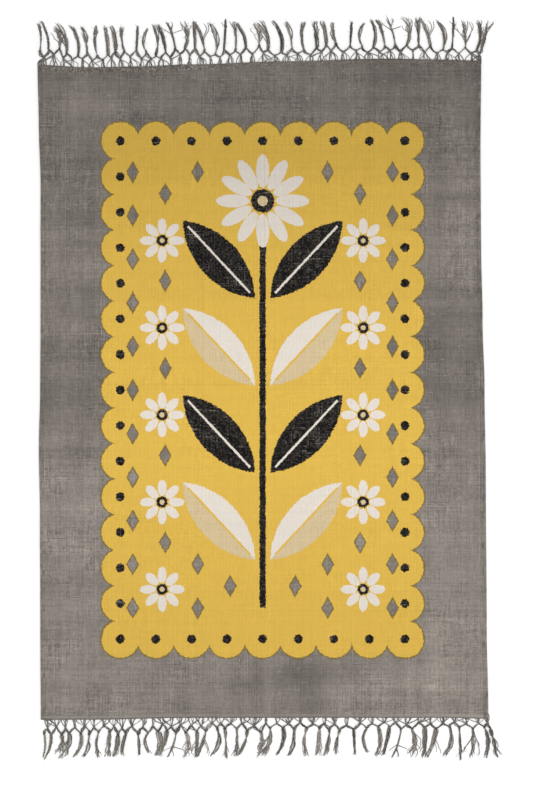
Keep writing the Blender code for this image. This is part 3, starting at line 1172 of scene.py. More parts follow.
@dataclass(frozen=True)
class YarnFinish:
    """Soft two-ply cotton yarn, from pale to dark grey, its plies turning along its length, with painted
    shade in the grooves between them.
    """

    palette: Palette = Palette()
    ply_pitch: float = 0.0062
    fibre_scale: float = 900.0
    patch_scale: float = 60.0
    fibre_swing: float = 0.35
    patch_swing: float = 0.5
    painted_groove_shades: Pair = (0.68, 0.45)
    relief: float = 0.0004
    relief_strength: float = 0.8

    def material(self) -> bpy.types.Material:
        """Makes the finish.

        Returns:
            The material.
        """
        graph = Graph("cotton_yarn", roughness=0.95, sheen=0.12, specular=0.12)
        place = graph.point(*graph.place())
        around, along = graph.map(LENGTH_MAP)
        ply = (around * 2.0 - along / self.ply_pitch).wave()
        fibre, patch = graph.noise(place, self.fibre_scale, 2.0), graph.noise(place, self.patch_scale)
        mixed = graph.attribute("tone") + patch.swing(self.patch_swing) + fibre.swing(self.fibre_swing)
        colour = graph.blend(mixed, self.palette.yarn_dark, self.palette.yarn_pale)
        least, more = self.painted_groove_shades
        # Painted shade: darker in the grooves between the plies.
        colour = graph.shade(colour, ply * more + least)
        return graph.finish(colour, ply * 0.7 + fibre * 0.3, self.relief, self.relief_strength)


@dataclass(frozen=True)
class FloorFinish:
    """A plain pale floor."""

    palette: Palette = Palette()
    scale: float = 3.0
    unevenness: float = 0.01

    def material(self) -> bpy.types.Material:
        """Makes the finish.

        Returns:
            The material.
        """
        graph = Graph("pale_floor", roughness=0.9, sheen=0.0, specular=0.2)
        x, y, _ = graph.place()
        colour = graph.blend(0.0, self.palette.floor, self.palette.floor)
        cloud = graph.noise(graph.point(x, y), self.scale)
        return graph.finish(graph.shade(colour, cloud * self.unevenness + (1.0 - self.unevenness / 2.0)))


# ---- The cloth ----


@dataclass
class RugSheet:
    """The woven sheet: one thin closed sheet with rounded edges, ribs along them and the folds it lies in.

    step and fold_step are the grid's spacing on plain cloth and along folds, and edge_steps the distances of
    its first lines from each edge. face_share is how much of the bake map's width the face takes.
    """

    shape: RugShape
    finish: ClothFinish
    step: float = 0.0072
    fold_step: float = 0.0030
    fine_along: tuple[Pair, ...] = ((0.498, 0.518), (0.925, 0.995))
    edge_steps: tuple[float, ...] = (
        0.0, 0.0002, 0.0005, 0.0010, 0.0016, 0.0023, 0.0031, 0.0039, 0.0047, 0.0054, 0.0062, 0.0070, 0.0078,
        0.0090, 0.0115,
    )
    round_over: float = 0.0016
    edge_thickness: float = 0.12
    rib_pitch: float = 0.0031
    rib_height: float = 0.00035
    rib_reach: float = 0.0085
    rib_fade: float = 0.002
    face_share: float = 0.665
    map_margin: float = 0.04
    back_low: float = 0.02
    back_proportion: float = 1.47
    rim_low: float = 0.60
    rim_height: float = 0.01
    smooth_angle: float = 60.0

    def _lines(self, length: float, fine: Sequence[Pair]) -> np.ndarray:
        """Places the grid's lines along one side, close together near its ends and in the fine stretches.

        Args:
            length: The side's length.
            fine: The fine stretches, as shares of it.

        Returns:
            The lines' shares of the side.
        """
        edge = np.array(self.edge_steps) / length
        lines = list(edge) + list(1.0 - edge)
        place = edge[-1]
        while place < 1.0 - edge[-1]:
            close = any(low <= place <= high for low, high in fine)
            place += (self.fold_step if close else self.step) / length
            if place < 1.0 - edge[-1] - self.fold_step / length:
                lines.append(place)
        return np.array(sorted(lines))

    def _fine_across(self) -> list[Pair]:
        """Finds the stretches across the cloth that hold a fold along it.

        Returns:
            Their first and last shares.
        """
        found = []
        for fold in self.shape.folds:
            if abs(fold.start[0] - fold.end[0]) < 0.01:
                half = fold.half_width / self.shape.width
                found.append((fold.start[0] - half, fold.start[0] + half))
        return found

    def _rounding(self, inset: np.ndarray) -> np.ndarray:
        """The share of the full thickness that the cloth has at each distance from its edge."""
        share = 1.0 - np.clip(inset / self.round_over, 0.0, 1.0)
        return self.edge_thickness + (1.0 - self.edge_thickness) * np.sqrt(1.0 - share * share)

    def build(self) -> bpy.types.Object:
        """Returns:
            The finished object.
        """
        shape = self.shape
        across = self._lines(shape.width, self._fine_across())
        along = self._lines(shape.length, self.fine_along)
        deselect_all()
        bpy.ops.mesh.primitive_grid_add(
            x_subdivisions=len(across) - 1, y_subdivisions=len(along) - 1, size=2.0)
        rug = named("rug_cloth")
        share_x, share_y = (part.ravel() for part in np.meshgrid(across, along))
        x, y = shape.place(share_x, share_y)
        underside = shape.lift(share_x, share_y)
        write(rug.data.vertices, "co", np.column_stack([x, y, underside + shape.thickness]))
        rug.data.update()
        solid = rug.modifiers.new("thickness", "SOLIDIFY")
        solid.thickness = shape.thickness
        solid.offset = -1.0
        solid.material_offset = 1
        bpy.ops.object.modifier_apply(modifier=solid.name)
        insets = self._insets(share_x, share_y)
        self._shape_edges(rug, insets)
        self._write_insets(rug, insets)
        self._write_bake_map(rug, share_x, share_y)
        self._dress(rug)
        bpy.ops.object.shade_smooth_by_angle(angle=math.radians(self.smooth_angle))
        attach(rug, BODY)
        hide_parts("rug_body")
        return rug

    def _insets(self, share_x: np.ndarray, share_y: np.ndarray) -> dict[str, np.ndarray]:
        """Measures how far each point lies from the cloth's edges.

        Args:
            share_x: The points' shares across the cloth.
            share_y: The points' shares along it.

        Returns:
            The distances to the far end, the near end and the nearer long side.
        """
        width, length = self.shape.width, self.shape.length
        return {
            "to_far": (1.0 - share_y) * length,
            "to_near": share_y * length,
            "to_side": np.minimum(share_x, 1.0 - share_x) * width,
        }

    def _shape_edges(self, rug: bpy.types.Object, insets: dict[str, np.ndarray]) -> None:
        """Rounds the cloth's edges, top and bottom, and raises the ribs of its selvedges and headings.

        Args:
            rug: The sheet.
            insets: Its points' distances from the edges.
        """
        places = read(rug.data.vertices, "co", 3)
        nearest = np.minimum(np.minimum(insets["to_far"], insets["to_near"]), insets["to_side"])
        count = len(nearest)
        taper = self.shape.thickness / 2 * (1.0 - self._rounding(nearest))
        fading = smooth((self.rib_reach - nearest) / self.rib_fade) * smooth(nearest / self.round_over)
        rib = self.rib_height * fading * (0.5 - 0.5 * np.cos(FULL_TURN * nearest / self.rib_pitch))
        places[:count, 2] += rib - taper
        places[count:2 * count, 2] += taper
        write(rug.data.vertices, "co", places)
        rug.data.update()

    @staticmethod
    def _write_insets(rug: bpy.types.Object, insets: dict[str, np.ndarray]) -> None:
        """Writes the distances that the finish reads, for the top and the underside alike."""
        for name, values in insets.items():
            attribute = rug.data.attributes.new(name, "FLOAT", "POINT")
            write(attribute.data, "value", np.tile(values, 2))

    def _write_bake_map(self, rug: bpy.types.Object, share_x: np.ndarray, share_y: np.ndarray) -> None:
        """Writes the bake map: the face large at its left, the back and the rim small beside it.

        Args:
            rug: The sheet.
            share_x: Its points' shares across the cloth.
            share_y: Its points' shares along it.
        """
        mesh, count = rug.data, len(share_x)
        while mesh.uv_layers:
            mesh.uv_layers.remove(mesh.uv_layers[0])
        layer = mesh.uv_layers.new(name=BAKE_MAP)
        corner = read(mesh.loops, "vertex_index", kind=np.int32)
        total = read(mesh.polygons, "loop_total", kind=np.int32)
        under = np.add.reduceat(corner >= count, np.concatenate([[0], np.cumsum(total)[:-1]]))
        kind = np.repeat(np.where(under == 0, 0, np.where(under == total, 1, 2)), total)
        point = corner % count
        gap, used = 1.0 - self.face_share, 1.0 - 2 * self.map_margin
        around = np.where(share_y * (1 - share_y) == 0, share_x, share_y)
        face = np.column_stack([share_x * self.face_share, share_y])
        back = np.column_stack([self.face_share + gap * (self.map_margin + used * share_x),
                                self.back_low + used * gap * self.back_proportion * share_y])
        rim = np.column_stack([self.face_share + gap * (self.map_margin + used * around),
                               np.full(count, self.rim_low)])
        places = np.choose(kind[:, None], [face[point], back[point], rim[point]])
        places[:, 1] += np.where((kind == 2) & (corner >= count), self.rim_height, 0.0)
        write(layer.uv, "vector", places)

    def _dress(self, rug: bpy.types.Object) -> None:
        """Gives the face and the back their finishes. The solidified underside has the second slot."""
        rug.data.materials.clear()
        for side in ClothSide:
            rug.data.materials.append(self.finish.material(side, self.shape.shift))


# ---- Yarn ----


@dataclass(frozen=True)
class ModelledShape:
    """A small mesh that was modelled once, as arrays ready to be set down many times."""

    points: np.ndarray
    corners: np.ndarray
    starts: np.ndarray
    maps: np.ndarray

    @classmethod
    def of(cls, item: bpy.types.Object) -> "ModelledShape":
        """Reads a modelled object and removes it from the scene.

        Args:
            item: The modelled object.

        Returns:
            Its shape.
        """
        mesh = item.data
        points = read(mesh.vertices, "co", 3)
        corners = read(mesh.loops, "vertex_index", kind=np.int32)
        starts = read(mesh.polygons, "loop_start", kind=np.int32)
        layer = mesh.uv_layers.active
        maps = read(layer.uv, "vector", 2) if layer else np.zeros((len(corners), 2), np.float32)
        bpy.data.objects.remove(item, do_unlink=True)
        return cls(points, corners, starts, maps)


@dataclass(frozen=True)
class YarnPiece:
    """A straight piece of yarn along Y, with a ring of points for each step and closed ends."""

    steps: int
    sides: int = 5

    def model(self) -> ModelledShape:
        """Models the piece, one metre in radius and one metre a step, to be swept along a path.

        Returns:
            Its shape.
        """
        deselect_all()
        bpy.ops.mesh.primitive_circle_add(
            vertices=self.sides, radius=1.0, fill_type="NGON", rotation=(math.radians(90.0), 0.0, 0.0))
        piece = named("yarn_piece")
        bpy.ops.object.transform_apply(location=True, rotation=True, scale=True)
        bpy.ops.object.mode_set(mode="EDIT")
        bpy.ops.mesh.select_all(action="SELECT")
        for _ in range(self.steps - 1):
            bpy.ops.mesh.extrude_region_move(TRANSFORM_OT_translate={"value": (0.0, 1.0, 0.0)})
        bpy.ops.mesh.select_all(action="SELECT")
        bpy.ops.mesh.normals_make_consistent(inside=False)
        bpy.ops.object.mode_set(mode="OBJECT")
        return ModelledShape.of(piece)


class YarnMesh:
    """Many pieces of yarn, gathered into one mesh with their lengths as a map and a tone for each."""

    clearance: float = 0.00005
    least_length: float = 1e-12

    def __init__(self) -> None:
        """Starts with no yarn."""
        self.points: list[np.ndarray] = []
        self.corners: list[np.ndarray] = []
        self.starts: list[np.ndarray] = []
        self.maps: list[np.ndarray] = []
        self.tones: list[np.ndarray] = []
        self.point_count = 0
        self.corner_count = 0

    def add(self, shape: ModelledShape, points: np.ndarray, maps: np.ndarray, tones: np.ndarray) -> None:
        """Adds copies of a modelled shape.

        Args:
            shape: The shape.
            points: Its points' places by copy, point and axis.
            maps: Around and along by copy and corner.
            tones: The tone of each copy.
        """
        copies, size, _ = points.shape
        number = np.arange(copies)[:, None]
        self.points.append(points.reshape(-1, 3))
        self.corners.append((shape.corners[None] + number * size + self.point_count).ravel())
        self.starts.append((shape.starts[None] + number * len(shape.corners) + self.corner_count).ravel())
        self.maps.append(maps.reshape(-1, 2))
        self.tones.append(np.repeat(tones, size))
        self.point_count += copies * size
        self.corner_count += copies * len(shape.corners)

    def sweep(self, shape: ModelledShape, paths: np.ndarray, radii: np.ndarray, tones: np.ndarray) -> None:
        """Sweeps a yarn piece along paths that lie nearly flat, and lifts what would be under the floor.

        Args:
            shape: The modelled piece, with as many steps as the paths.
            paths: Places by yarn, step and axis.
            radii: The radius by yarn and step.
            tones: The tone of each yarn, from 0 for dark to 1 for pale.
        """
        paths = paths.copy()
        paths[..., 2] = np.maximum(paths[..., 2], radii + self.clearance)
        run = np.gradient(paths, axis=1)
        run /= np.linalg.norm(run, axis=2, keepdims=True) + self.least_length
        side = np.cross(run, (0.0, 0.0, 1.0))
        side /= np.linalg.norm(side, axis=2, keepdims=True) + self.least_length
        top = np.cross(side, run)
        shape_x, shape_y, shape_z = shape.points.T
        step = np.rint(shape_y).astype(int)
        aside, up = shape_x[None, :, None], shape_z[None, :, None]
        points = paths[:, step] + (side[:, step] * aside + top[:, step] * up) * radii[:, step, None]
        length = np.linalg.norm(np.diff(paths, axis=1), axis=2)
        length = np.concatenate([np.zeros((len(paths), 1)), np.cumsum(length, axis=1)], axis=1)
        around = np.arctan2(shape_z, shape_x) / FULL_TURN + 0.5
        along = length[:, step][:, shape.corners]
        maps = np.stack([np.broadcast_to(around[shape.corners], along.shape), along], axis=-1)
        self.add(shape, points, maps, tones)

    def build(self, name: str, material: bpy.types.Material) -> bpy.types.Object:
        """Makes one object of all the yarn.

        Args:
            name: The piece's name.
            material: Its finish.

        Returns:
            The finished object, riding on the rug.
        """
        mesh = bpy.data.meshes.new(name)
        points, corners, starts = (np.concatenate(part) for part in (self.points, self.corners, self.starts))
        mesh.vertices.add(len(points))
        mesh.loops.add(len(corners))
        mesh.polygons.add(len(starts))
        write(mesh.vertices, "co", points)
        write(mesh.loops, "vertex_index", corners, np.int32)
        write(mesh.polygons, "loop_start", starts, np.int32)
        mesh.update(calc_edges=True)
        write(mesh.uv_layers.new(name=LENGTH_MAP).uv, "vector", np.concatenate(self.maps))
        write(mesh.attributes.new("tone", "FLOAT", "POINT").data, "value", np.concatenate(self.tones))
        mesh.materials.append(material)
        mesh.shade_smooth()
        piece = bpy.data.objects.new(name, mesh)
        bpy.context.scene.collection.objects.link(piece)
        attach(piece, BODY)
        return piece


@dataclass(frozen=True)
class TiedKnot:
    """A knot in a bundle of yarns, modelled once along Y: a soft core with turns of yarn round it."""

    core: tuple[float, float, float] = (0.0019, 0.0032, 0.0016)
    turn_radius: float = 0.0018
    yarn_radius: float = 0.00082
    turn_places: tuple[float, ...] = (-0.0015, 0.0, 0.0015)
    turn_lean: float = 28.0
    turn_flatness: float = 0.80

    def model(self) -> ModelledShape:
        """Models the knot about the origin.

        Returns:
            Its shape.
        """
        deselect_all()
        bpy.ops.mesh.primitive_uv_sphere_add(segments=8, ring_count=5, radius=1.0)
        core = named("knot_core")
        core.scale = self.core
        parts = [core]
        for place in self.turn_places:
            bpy.ops.mesh.primitive_torus_add(
                major_segments=10, minor_segments=5, major_radius=self.turn_radius,
                minor_radius=self.yarn_radius, location=(0.0, place, 0.0),
                rotation=(math.radians(90.0), 0.0, math.radians(self.turn_lean)),
            )
            turn = named("knot_turn")
            turn.scale = (1.0, self.turn_flatness, 1.0)
            parts.append(turn)
        deselect_all()
        for part in parts:
            part.select_set(True)
        bpy.context.view_layer.objects.active = core
        bpy.ops.object.transform_apply(location=True, rotation=True, scale=True)
        bpy.ops.object.join()
        return ModelledShape.of(core)


# ---- Fringes ----


@dataclass(frozen=True)
class Habit:
    """How a loose lock lies.

    spread is its width as a share of the listed one, splay is how wide its tip is, wave is how far a yarn
    waves sideways, ragged is the share by which a yarn may fall short, strays counts the yarns that wander
    off by up to stray_bow, and fuzz counts the loose fibres.
    """

    spread: float
    splay: float
    wave: float
    ragged: float
    strays: int
    stray_bow: float
    fuzz: int


class LockStyle(Enum):
    """The ways in which the locks lie."""

    TIGHT = Habit(1.00, 0.80, 0.0006, 0.05, 0, 0.0, 16)
    SOFT = Habit(1.25, 1.05, 0.0010, 0.08, 1, 0.0025, 22)
    LOOSE = Habit(1.35, 1.30, 0.0016, 0.12, 1, 0.0040, 28)
    FRAYED = Habit(1.50, 1.50, 0.0028, 0.20, 3, 0.0065, 46)


@dataclass(frozen=True)
class Fork:
    """Strands that part from their lock.

    They leave it at a share of its length, their tips lie aside of its tip, their middles bulge further out,
    and they are a share of its length long. A fine fork is thin stray yarn.
    """

    strands: int
    start: float
    aside: float
    bulge: float = 0.0
    reach: float = 1.0
    fine: bool = False


@dataclass(frozen=True)
class Lock:
    """A loose lock: its tip's lean, its middle's bow, its tip's reach from the cloth, its width and style."""

    lean: float
    bow: float
    reach: float
    width: float
    style: LockStyle
    tone: float = 0.35
    forks: tuple[Fork, ...] = ()


TIGHT, SOFT, LOOSE, FRAYED = LockStyle.TIGHT, LockStyle.SOFT, LockStyle.LOOSE, LockStyle.FRAYED
LEFT_CORNER_LOCKS = (
    Lock(-0.002, 0.003, 0.09, 0.0034, TIGHT, 0.55, (Fork(1, 0.55, -0.0035),)),
    Lock(-0.016, 0.005, 0.096, 0.0045, TIGHT, 0.48),
)
FIELD_LOCKS = (
    Lock(-0.009, 0.004, 0.086, 0.0044, FRAYED, 0.62,
         (Fork(2, 0.15, -0.002, 0.008, 0.95), Fork(1, 0.3, 0.005))),
    Lock(-0.021, 0.008, 0.093, 0.0062, LOOSE, 0.5,
         (Fork(2, 0.35, 0.008), Fork(2, 0.45, -0.005), Fork(2, 0.1, -0.006, -0.007, 0.9, True))),
    Lock(-0.017, 0.008, 0.091, 0.0072, SOFT, 0.42),
    Lock(-0.014, 0.003, 0.09, 0.004, SOFT, 0.5, (Fork(3, 0.3, 0.001, 0.006),)),
    Lock(-0.001, -0.005, 0.091, 0.0052, SOFT, 0.42, (Fork(2, 0.5, 0.005, 0.001, 0.93),)),
    Lock(-0.006, 0.001, 0.09, 0.0064, LOOSE, 0.58, (Fork(2, 0.5, 0.005), Fork(1, 0.55, -0.004))),
    Lock(-0.009, 0.002, 0.09, 0.0088, SOFT, 0.6, (Fork(2, 0.6, -0.004, 0.0, 0.97),)),
    Lock(-0.007, -0.003, 0.087, 0.0056, SOFT, 0.45),
    Lock(0.003, 0.000, 0.088, 0.0052, TIGHT, 0.28),
    Lock(0.003, -0.009, 0.083, 0.0034, TIGHT, 0.32,
         (Fork(2, 0.22, 0.0015, 0.004, 0.95, True), Fork(1, 0.55, 0.0045))),
    Lock(-0.004, 0.006, 0.09, 0.007, SOFT, 0.45, (Fork(2, 0.55, -0.0035),)),
    Lock(-0.015, 0.002, 0.09, 0.0058, SOFT, 0.28, (Fork(2, 0.5, -0.0045),)),
    Lock(-0.019, 0.003, 0.094, 0.0032, TIGHT, 0.4,
         (Fork(2, 0.6, 0.0125), Fork(2, 0.52, 0.027, -0.002, 0.72, True),
          Fork(1, 0.48, -0.015, 0.0, 0.8, True))),
    Lock(-0.004, 0.008, 0.094, 0.0056, FRAYED, 0.6, (Fork(1, 0.4, -0.005, -0.003, 0.9, True),)),
    Lock(-0.003, 0.001, 0.095, 0.0056, LOOSE, 0.42,
         (Fork(1, 0.42, -0.007, -0.0015, 0.88), Fork(1, 0.55, 0.0045))),
    Lock(-0.022, 0.003, 0.095, 0.0056, SOFT, 0.4,
         (Fork(1, 0.22, 0.024, 0.003, 0.95, True), Fork(1, 0.35, 0.016, 0.006, 0.92, True))),
    Lock(-0.015, 0.008, 0.092, 0.0044, SOFT, 0.48, (Fork(3, 0.08, 0.003, 0.0055, 0.93),)),
    Lock(0.003, 0.001, 0.099, 0.005, TIGHT, 0.3,
         (Fork(1, 0.7, -0.009, 0.0, 0.9, True), Fork(1, 0.55, 0.005, 0.0, 0.8))),
    Lock(-0.007, 0.004, 0.092, 0.0036, LOOSE, 0.48,
         (Fork(1, 0.45, -0.004), Fork(2, 0.5, 0.0055, 0.001, 0.97))),
    Lock(-0.024, 0.006, 0.091, 0.0054, SOFT, 0.38, (Fork(1, 0.6, 0.005, 0.0, 0.94),)),
)
RIGHT_CORNER_LOCKS = (
    Lock(-0.005, 0.002, 0.092, 0.0036, LOOSE, 0.52,
         (Fork(2, 0.04, -0.019, 0.002, 0.8), Fork(2, 0.1, 0.016, 0.005, 0.96, True),
          Fork(1, 0.3, 0.006))),
    Lock(0.001, 0.007, 0.093, 0.0062, LOOSE, 0.26, (Fork(1, 0.5, -0.005), Fork(2, 0.55, 0.006))),
    Lock(0.014, 0.001, 0.091, 0.0048, FRAYED, 0.3, (Fork(2, 0.55, 0.011, 0.0, 0.95),)),
)
FAR_KNOTS = (
    (-0.501, 0.03), (-0.482, 0.036), (-0.457, 0.038), (-0.441, 0.0285), (-0.415, 0.0255),
    (-0.395, 0.033), (-0.372, 0.0245), (-0.348, 0.027), (-0.331, 0.0365), (-0.311, 0.0335),
    (-0.284, 0.035), (-0.262, 0.032), (-0.24, 0.024), (-0.218, 0.0285), (-0.197, 0.0355),
    (-0.175, 0.035), (-0.152, 0.035), (-0.131, 0.031), (-0.106, 0.021), (-0.087, 0.032),
    (-0.061, 0.0295), (-0.038, 0.033), (-0.008, 0.036), (0.012, 0.026), (0.043, 0.021),
    (0.066, 0.028), (0.093, 0.024), (0.122, 0.0285), (0.143, 0.036), (0.165, 0.035),
    (0.197, 0.0295), (0.224, 0.028), (0.249, 0.0245), (0.275, 0.027), (0.298, 0.0305),
    (0.324, 0.0305), (0.351, 0.0305), (0.377, 0.0295), (0.406, 0.022), (0.426, 0.0255),
    (0.456, 0.028), (0.482, 0.024), (0.493, 0.027),
)
NEAR_KNOTS = (
    (-0.491, 0.032), (-0.476, 0.036), (-0.452, 0.0355), (-0.435, 0.0335), (-0.409, 0.033),
    (-0.39, 0.034), (-0.369, 0.03), (-0.344, 0.03), (-0.325, 0.038), (-0.308, 0.0365),
    (-0.28, 0.0365), (-0.258, 0.0345), (-0.235, 0.032), (-0.216, 0.03), (-0.195, 0.036),
    (-0.173, 0.035), (-0.148, 0.033), (-0.128, 0.0315), (-0.102, 0.0255), (-0.085, 0.0265),
    (-0.058, 0.0265), (-0.035, 0.0315), (-0.003, 0.0355), (0.017, 0.0265), (0.046, 0.0255),
    (0.071, 0.0285), (0.099, 0.0245), (0.128, 0.026), (0.15, 0.031), (0.173, 0.031),
    (0.205, 0.0295), (0.233, 0.027), (0.26, 0.022), (0.285, 0.023), (0.311, 0.028),
    (0.336, 0.027), (0.365, 0.0255), (0.39, 0.027), (0.421, 0.023), (0.442, 0.023),
    (0.473, 0.0245), (0.499, 0.0205), (0.513, 0.0255),
)


@dataclass(frozen=True)
class EndPlan:
    """What differs between the two short ends of the rug.

    along is the end's share along the cloth, facing is which way its fringe runs along Y, knots holds x and
    the distance out for each knot of the second row, reach_shares shortens the locks by different shares at
    the left and the right, fullness thickens the yarn about the knots, overlap is how far the cloth covers
    the distances' starting line, and seed starts the draws.
    """

    along: float
    facing: float
    knots: tuple[Pair, ...]
    reach_shares: Pair
    fullness: float
    overlap: float
    seed: int


class End(Enum):
    """The short ends of the rug."""

    FAR = EndPlan(1.0, 1.0, FAR_KNOTS, (1.012, 0.958), 1.05, -0.0008, 5)
    NEAR = EndPlan(0.0, -1.0, NEAR_KNOTS, (0.942, 0.960), 1.34, 0.0018, 8)


@dataclass(frozen=True)
class YarnKit:
    """The shapes that a fringe is laid from: short yarn, long yarn, a loose fibre and a tied knot."""

    short: ModelledShape
    long: ModelledShape
    fibre: ModelledShape
    knot: ModelledShape
    short_steps: int = 12
    long_steps: int = 24
    fibre_steps: int = 6
    fibre_sides: int = 3

    @classmethod
    def model(cls) -> "YarnKit":
        """Models each shape once."""
        return cls(YarnPiece(cls.short_steps).model(), YarnPiece(cls.long_steps).model(),
                   YarnPiece(cls.fibre_steps, cls.fibre_sides).model(), TiedKnot().model())


@dataclass
class Fringe:
    """One knotted fringe: warp yarns from the cloth's edge, two rows of knots and loose locks.

    Distances out are from the cloth's edge. A profile pairs shares of a strand's length with values there.
    Every draw comes from the fringe's own generator, so their order makes the fringe what it is.
    """

    end: End
    shape: RugShape
    kit: YarnKit
    yarn: bpy.types.Material
    edge_samples: int = 161
    root_share: float = 0.560
    root_spread: float = 0.13
    root_in: float = 0.0014
    warp_pitch: float = 0.0040
    warp_radius: float = 0.00074
    warp_inside: float = -0.004
    warp_height: float = 0.0017
    crossing_share: float = 0.16
    gathered_share: float = 0.42
    corner_yarns: tuple[int, int] = (5, 11)
    corner_width: float = 0.007
    corner_drop: float = 0.005
    split_strands: int = 6
    split_radius: float = 0.00074
    split_height: float = 0.0018
    slack_strands: int = 2
    knot_tones: Pair = (0.34, 0.16)
    knot_sizes: Pair = (1.00, 1.08)
    knot_height: float = 0.0022
    knot_map: Pair = (1.0, 0.012)
    lock_radius: float = 0.00080
    least_strands: float = 3.8
    strands_per_metre: float = 620.0
    strands_per_parted: float = 0.35
    crimp: float = 0.00030
    fork_spacing: float = 0.0011
    fork_width: float = 0.0004
    reach_places: Pair = (-0.25, 0.15)
    width_profile: Stops = ((0.0, 0.66), (0.10, 0.80), (0.42, 0.88), (0.74, 0.90))
    tip_splay: float = 0.74
    thinning: Stops = ((0.6, 1.02), (0.93, 0.80), (1.0, 0.35))
    layers: Stops = ((0.0, 0.0024), (0.15, 0.0020), (0.5, 0.0012), (1.0, 0.0003))
    fine_radius: float = 0.84
    fine_tone: float = -0.06
    fibre_radius: float = 0.00017
    draws: np.random.Generator = field(init=False)

    def __post_init__(self) -> None:
        """Starts the fringe's own random draws."""
        self.plan = self.end.value
        self.draws = np.random.default_rng(self.plan.seed)

    @cached_property
    def locks(self) -> list[Lock]:
        """Deals out the rows of the tables.

        Returns:
            One for each knot of the second row, from left to right.
        """
        middle = len(self.plan.knots) - len(LEFT_CORNER_LOCKS) - len(RIGHT_CORNER_LOCKS)
        rows = [FIELD_LOCKS[place % len(FIELD_LOCKS)] for place in range(middle)]
        return [*LEFT_CORNER_LOCKS, *rows, *RIGHT_CORNER_LOCKS]

    @cached_property
    def edge(self) -> tuple[np.ndarray, np.ndarray]:
        """The cloth's edge at this end as x and y."""
        across = np.linspace(0.0, 1.0, self.edge_samples)
        return self.shape.place(across, np.full_like(across, self.plan.along))

    @cached_property
    def upper(self) -> tuple[np.ndarray, np.ndarray]:
        """The second row of knots: x and distance out."""
        x, out = np.array(self.plan.knots).T
        return x + self.shape.shift.x, out

    @cached_property
    def lower(self) -> tuple[np.ndarray, np.ndarray]:
        """Places the first row of knots, one between each two of the second.

        Returns:
            Their x and distances out.
        """
        x, out = ((part[1:] + part[:-1]) / 2 for part in self.upper)
        shares = self.root_share * (1.0 + self.root_spread * np.sin(np.arange(len(x)) * 2.4 + self.plan.seed))
        return np.minimum(x, self.edge[0][-1] - self.root_in), out * shares

    def _world(self, x: np.ndarray, out: np.ndarray, z: np.ndarray,
               edge_x: np.ndarray | None = None) -> np.ndarray:
        """Places points by how far they lie out from the cloth's edge.

        Args:
            x: The place across.
            out: The distance out from the edge.
            z: The height.
            edge_x: Where the edge is read, if not at x.

        Returns:
            The places, with the axes last.
        """
        edge_y = np.interp(x if edge_x is None else edge_x, *self.edge)
        x, y, z = np.broadcast_arrays(x, edge_y + self.plan.facing * (np.asarray(out) - self.plan.overlap), z)
        return np.stack([x, y, z], axis=-1)

    def _root_starts(self) -> np.ndarray:
        """Draws where the warp yarns leave the cloth: evenly, with more of them at the corners.

        Returns:
            Their x.
        """
        draws, (left, right) = self.draws, self.edge[0][[0, -1]]
        few, many = self.corner_yarns
        count = int((right - left - 0.002) / self.warp_pitch)
        start = np.concatenate([
            np.linspace(left + 0.001, right - 0.001, count),
            left + draws.uniform(0.0, self.corner_width, few),
            right + 0.0012 - draws.uniform(0.0, self.corner_width, many),
        ])
        return start + draws.normal(0.0, 0.0004, len(start))

    def _lay_roots(self, yarn: YarnMesh) -> None:
        """Lays the warp yarns that leave the cloth side by side and gather into the first knots.

        Args:
            yarn: What they join.
        """
        draws, steps = self.draws, self.kit.short_steps
        left, right = self.edge[0][[0, -1]]
        start = self._root_starts()
        count = len(start)
        knot_x, knot_out = self.lower
        nearest = knot_x[np.abs(start[:, None] - knot_x[None]).argmin(axis=1)]
        gathered = draws.random(count) < self.gathered_share
        start = start + (nearest - start) * np.where(gathered, draws.uniform(0.55, 0.92, count), 0.0)
        order = np.abs(start[:, None] - knot_x[None]).argsort(axis=1)
        own = order[np.arange(count), (draws.random(count) < self.crossing_share).astype(int)]
        share = np.linspace(0.0, 1.0, steps)[None]
        target = knot_x[own] + draws.uniform(-0.0012, 0.0012, count)
        sweep = smooth(share ** draws.uniform(1.0, 2.6, count)[:, None])
        wave = draws.normal(0.0, 0.0018, count)[:, None] * np.sin(math.pi * share)
        wave = wave + draws.normal(0.0, 0.0006, count)[:, None] * np.sin(2.7 * math.pi * share)
        x = np.clip(start[:, None] + (target - start)[:, None] * sweep + wave, left + 0.0004, None)
        inside = self.warp_inside
        drop = np.where(start > right - 0.001, self.corner_drop, 0.0)[:, None]
        out = inside - drop + (knot_out[own][:, None] + 0.0008 - inside + drop) * share
        rise = draws.uniform(0.0, 0.0014, count)[:, None]
        z = self.warp_height - 0.0007 * np.sin(math.pi * share) + (rise + 0.0004) * share ** 2
        thickness = self.warp_radius * draws.uniform(0.72, 1.30, count)[:, None]
        radii = thickness * (1.0 + draws.normal(0.0, 0.12, (count, steps)))
        yarn.sweep(self.kit.short, self._world(x, out, z), radii, draws.uniform(0.05, 0.65, count))

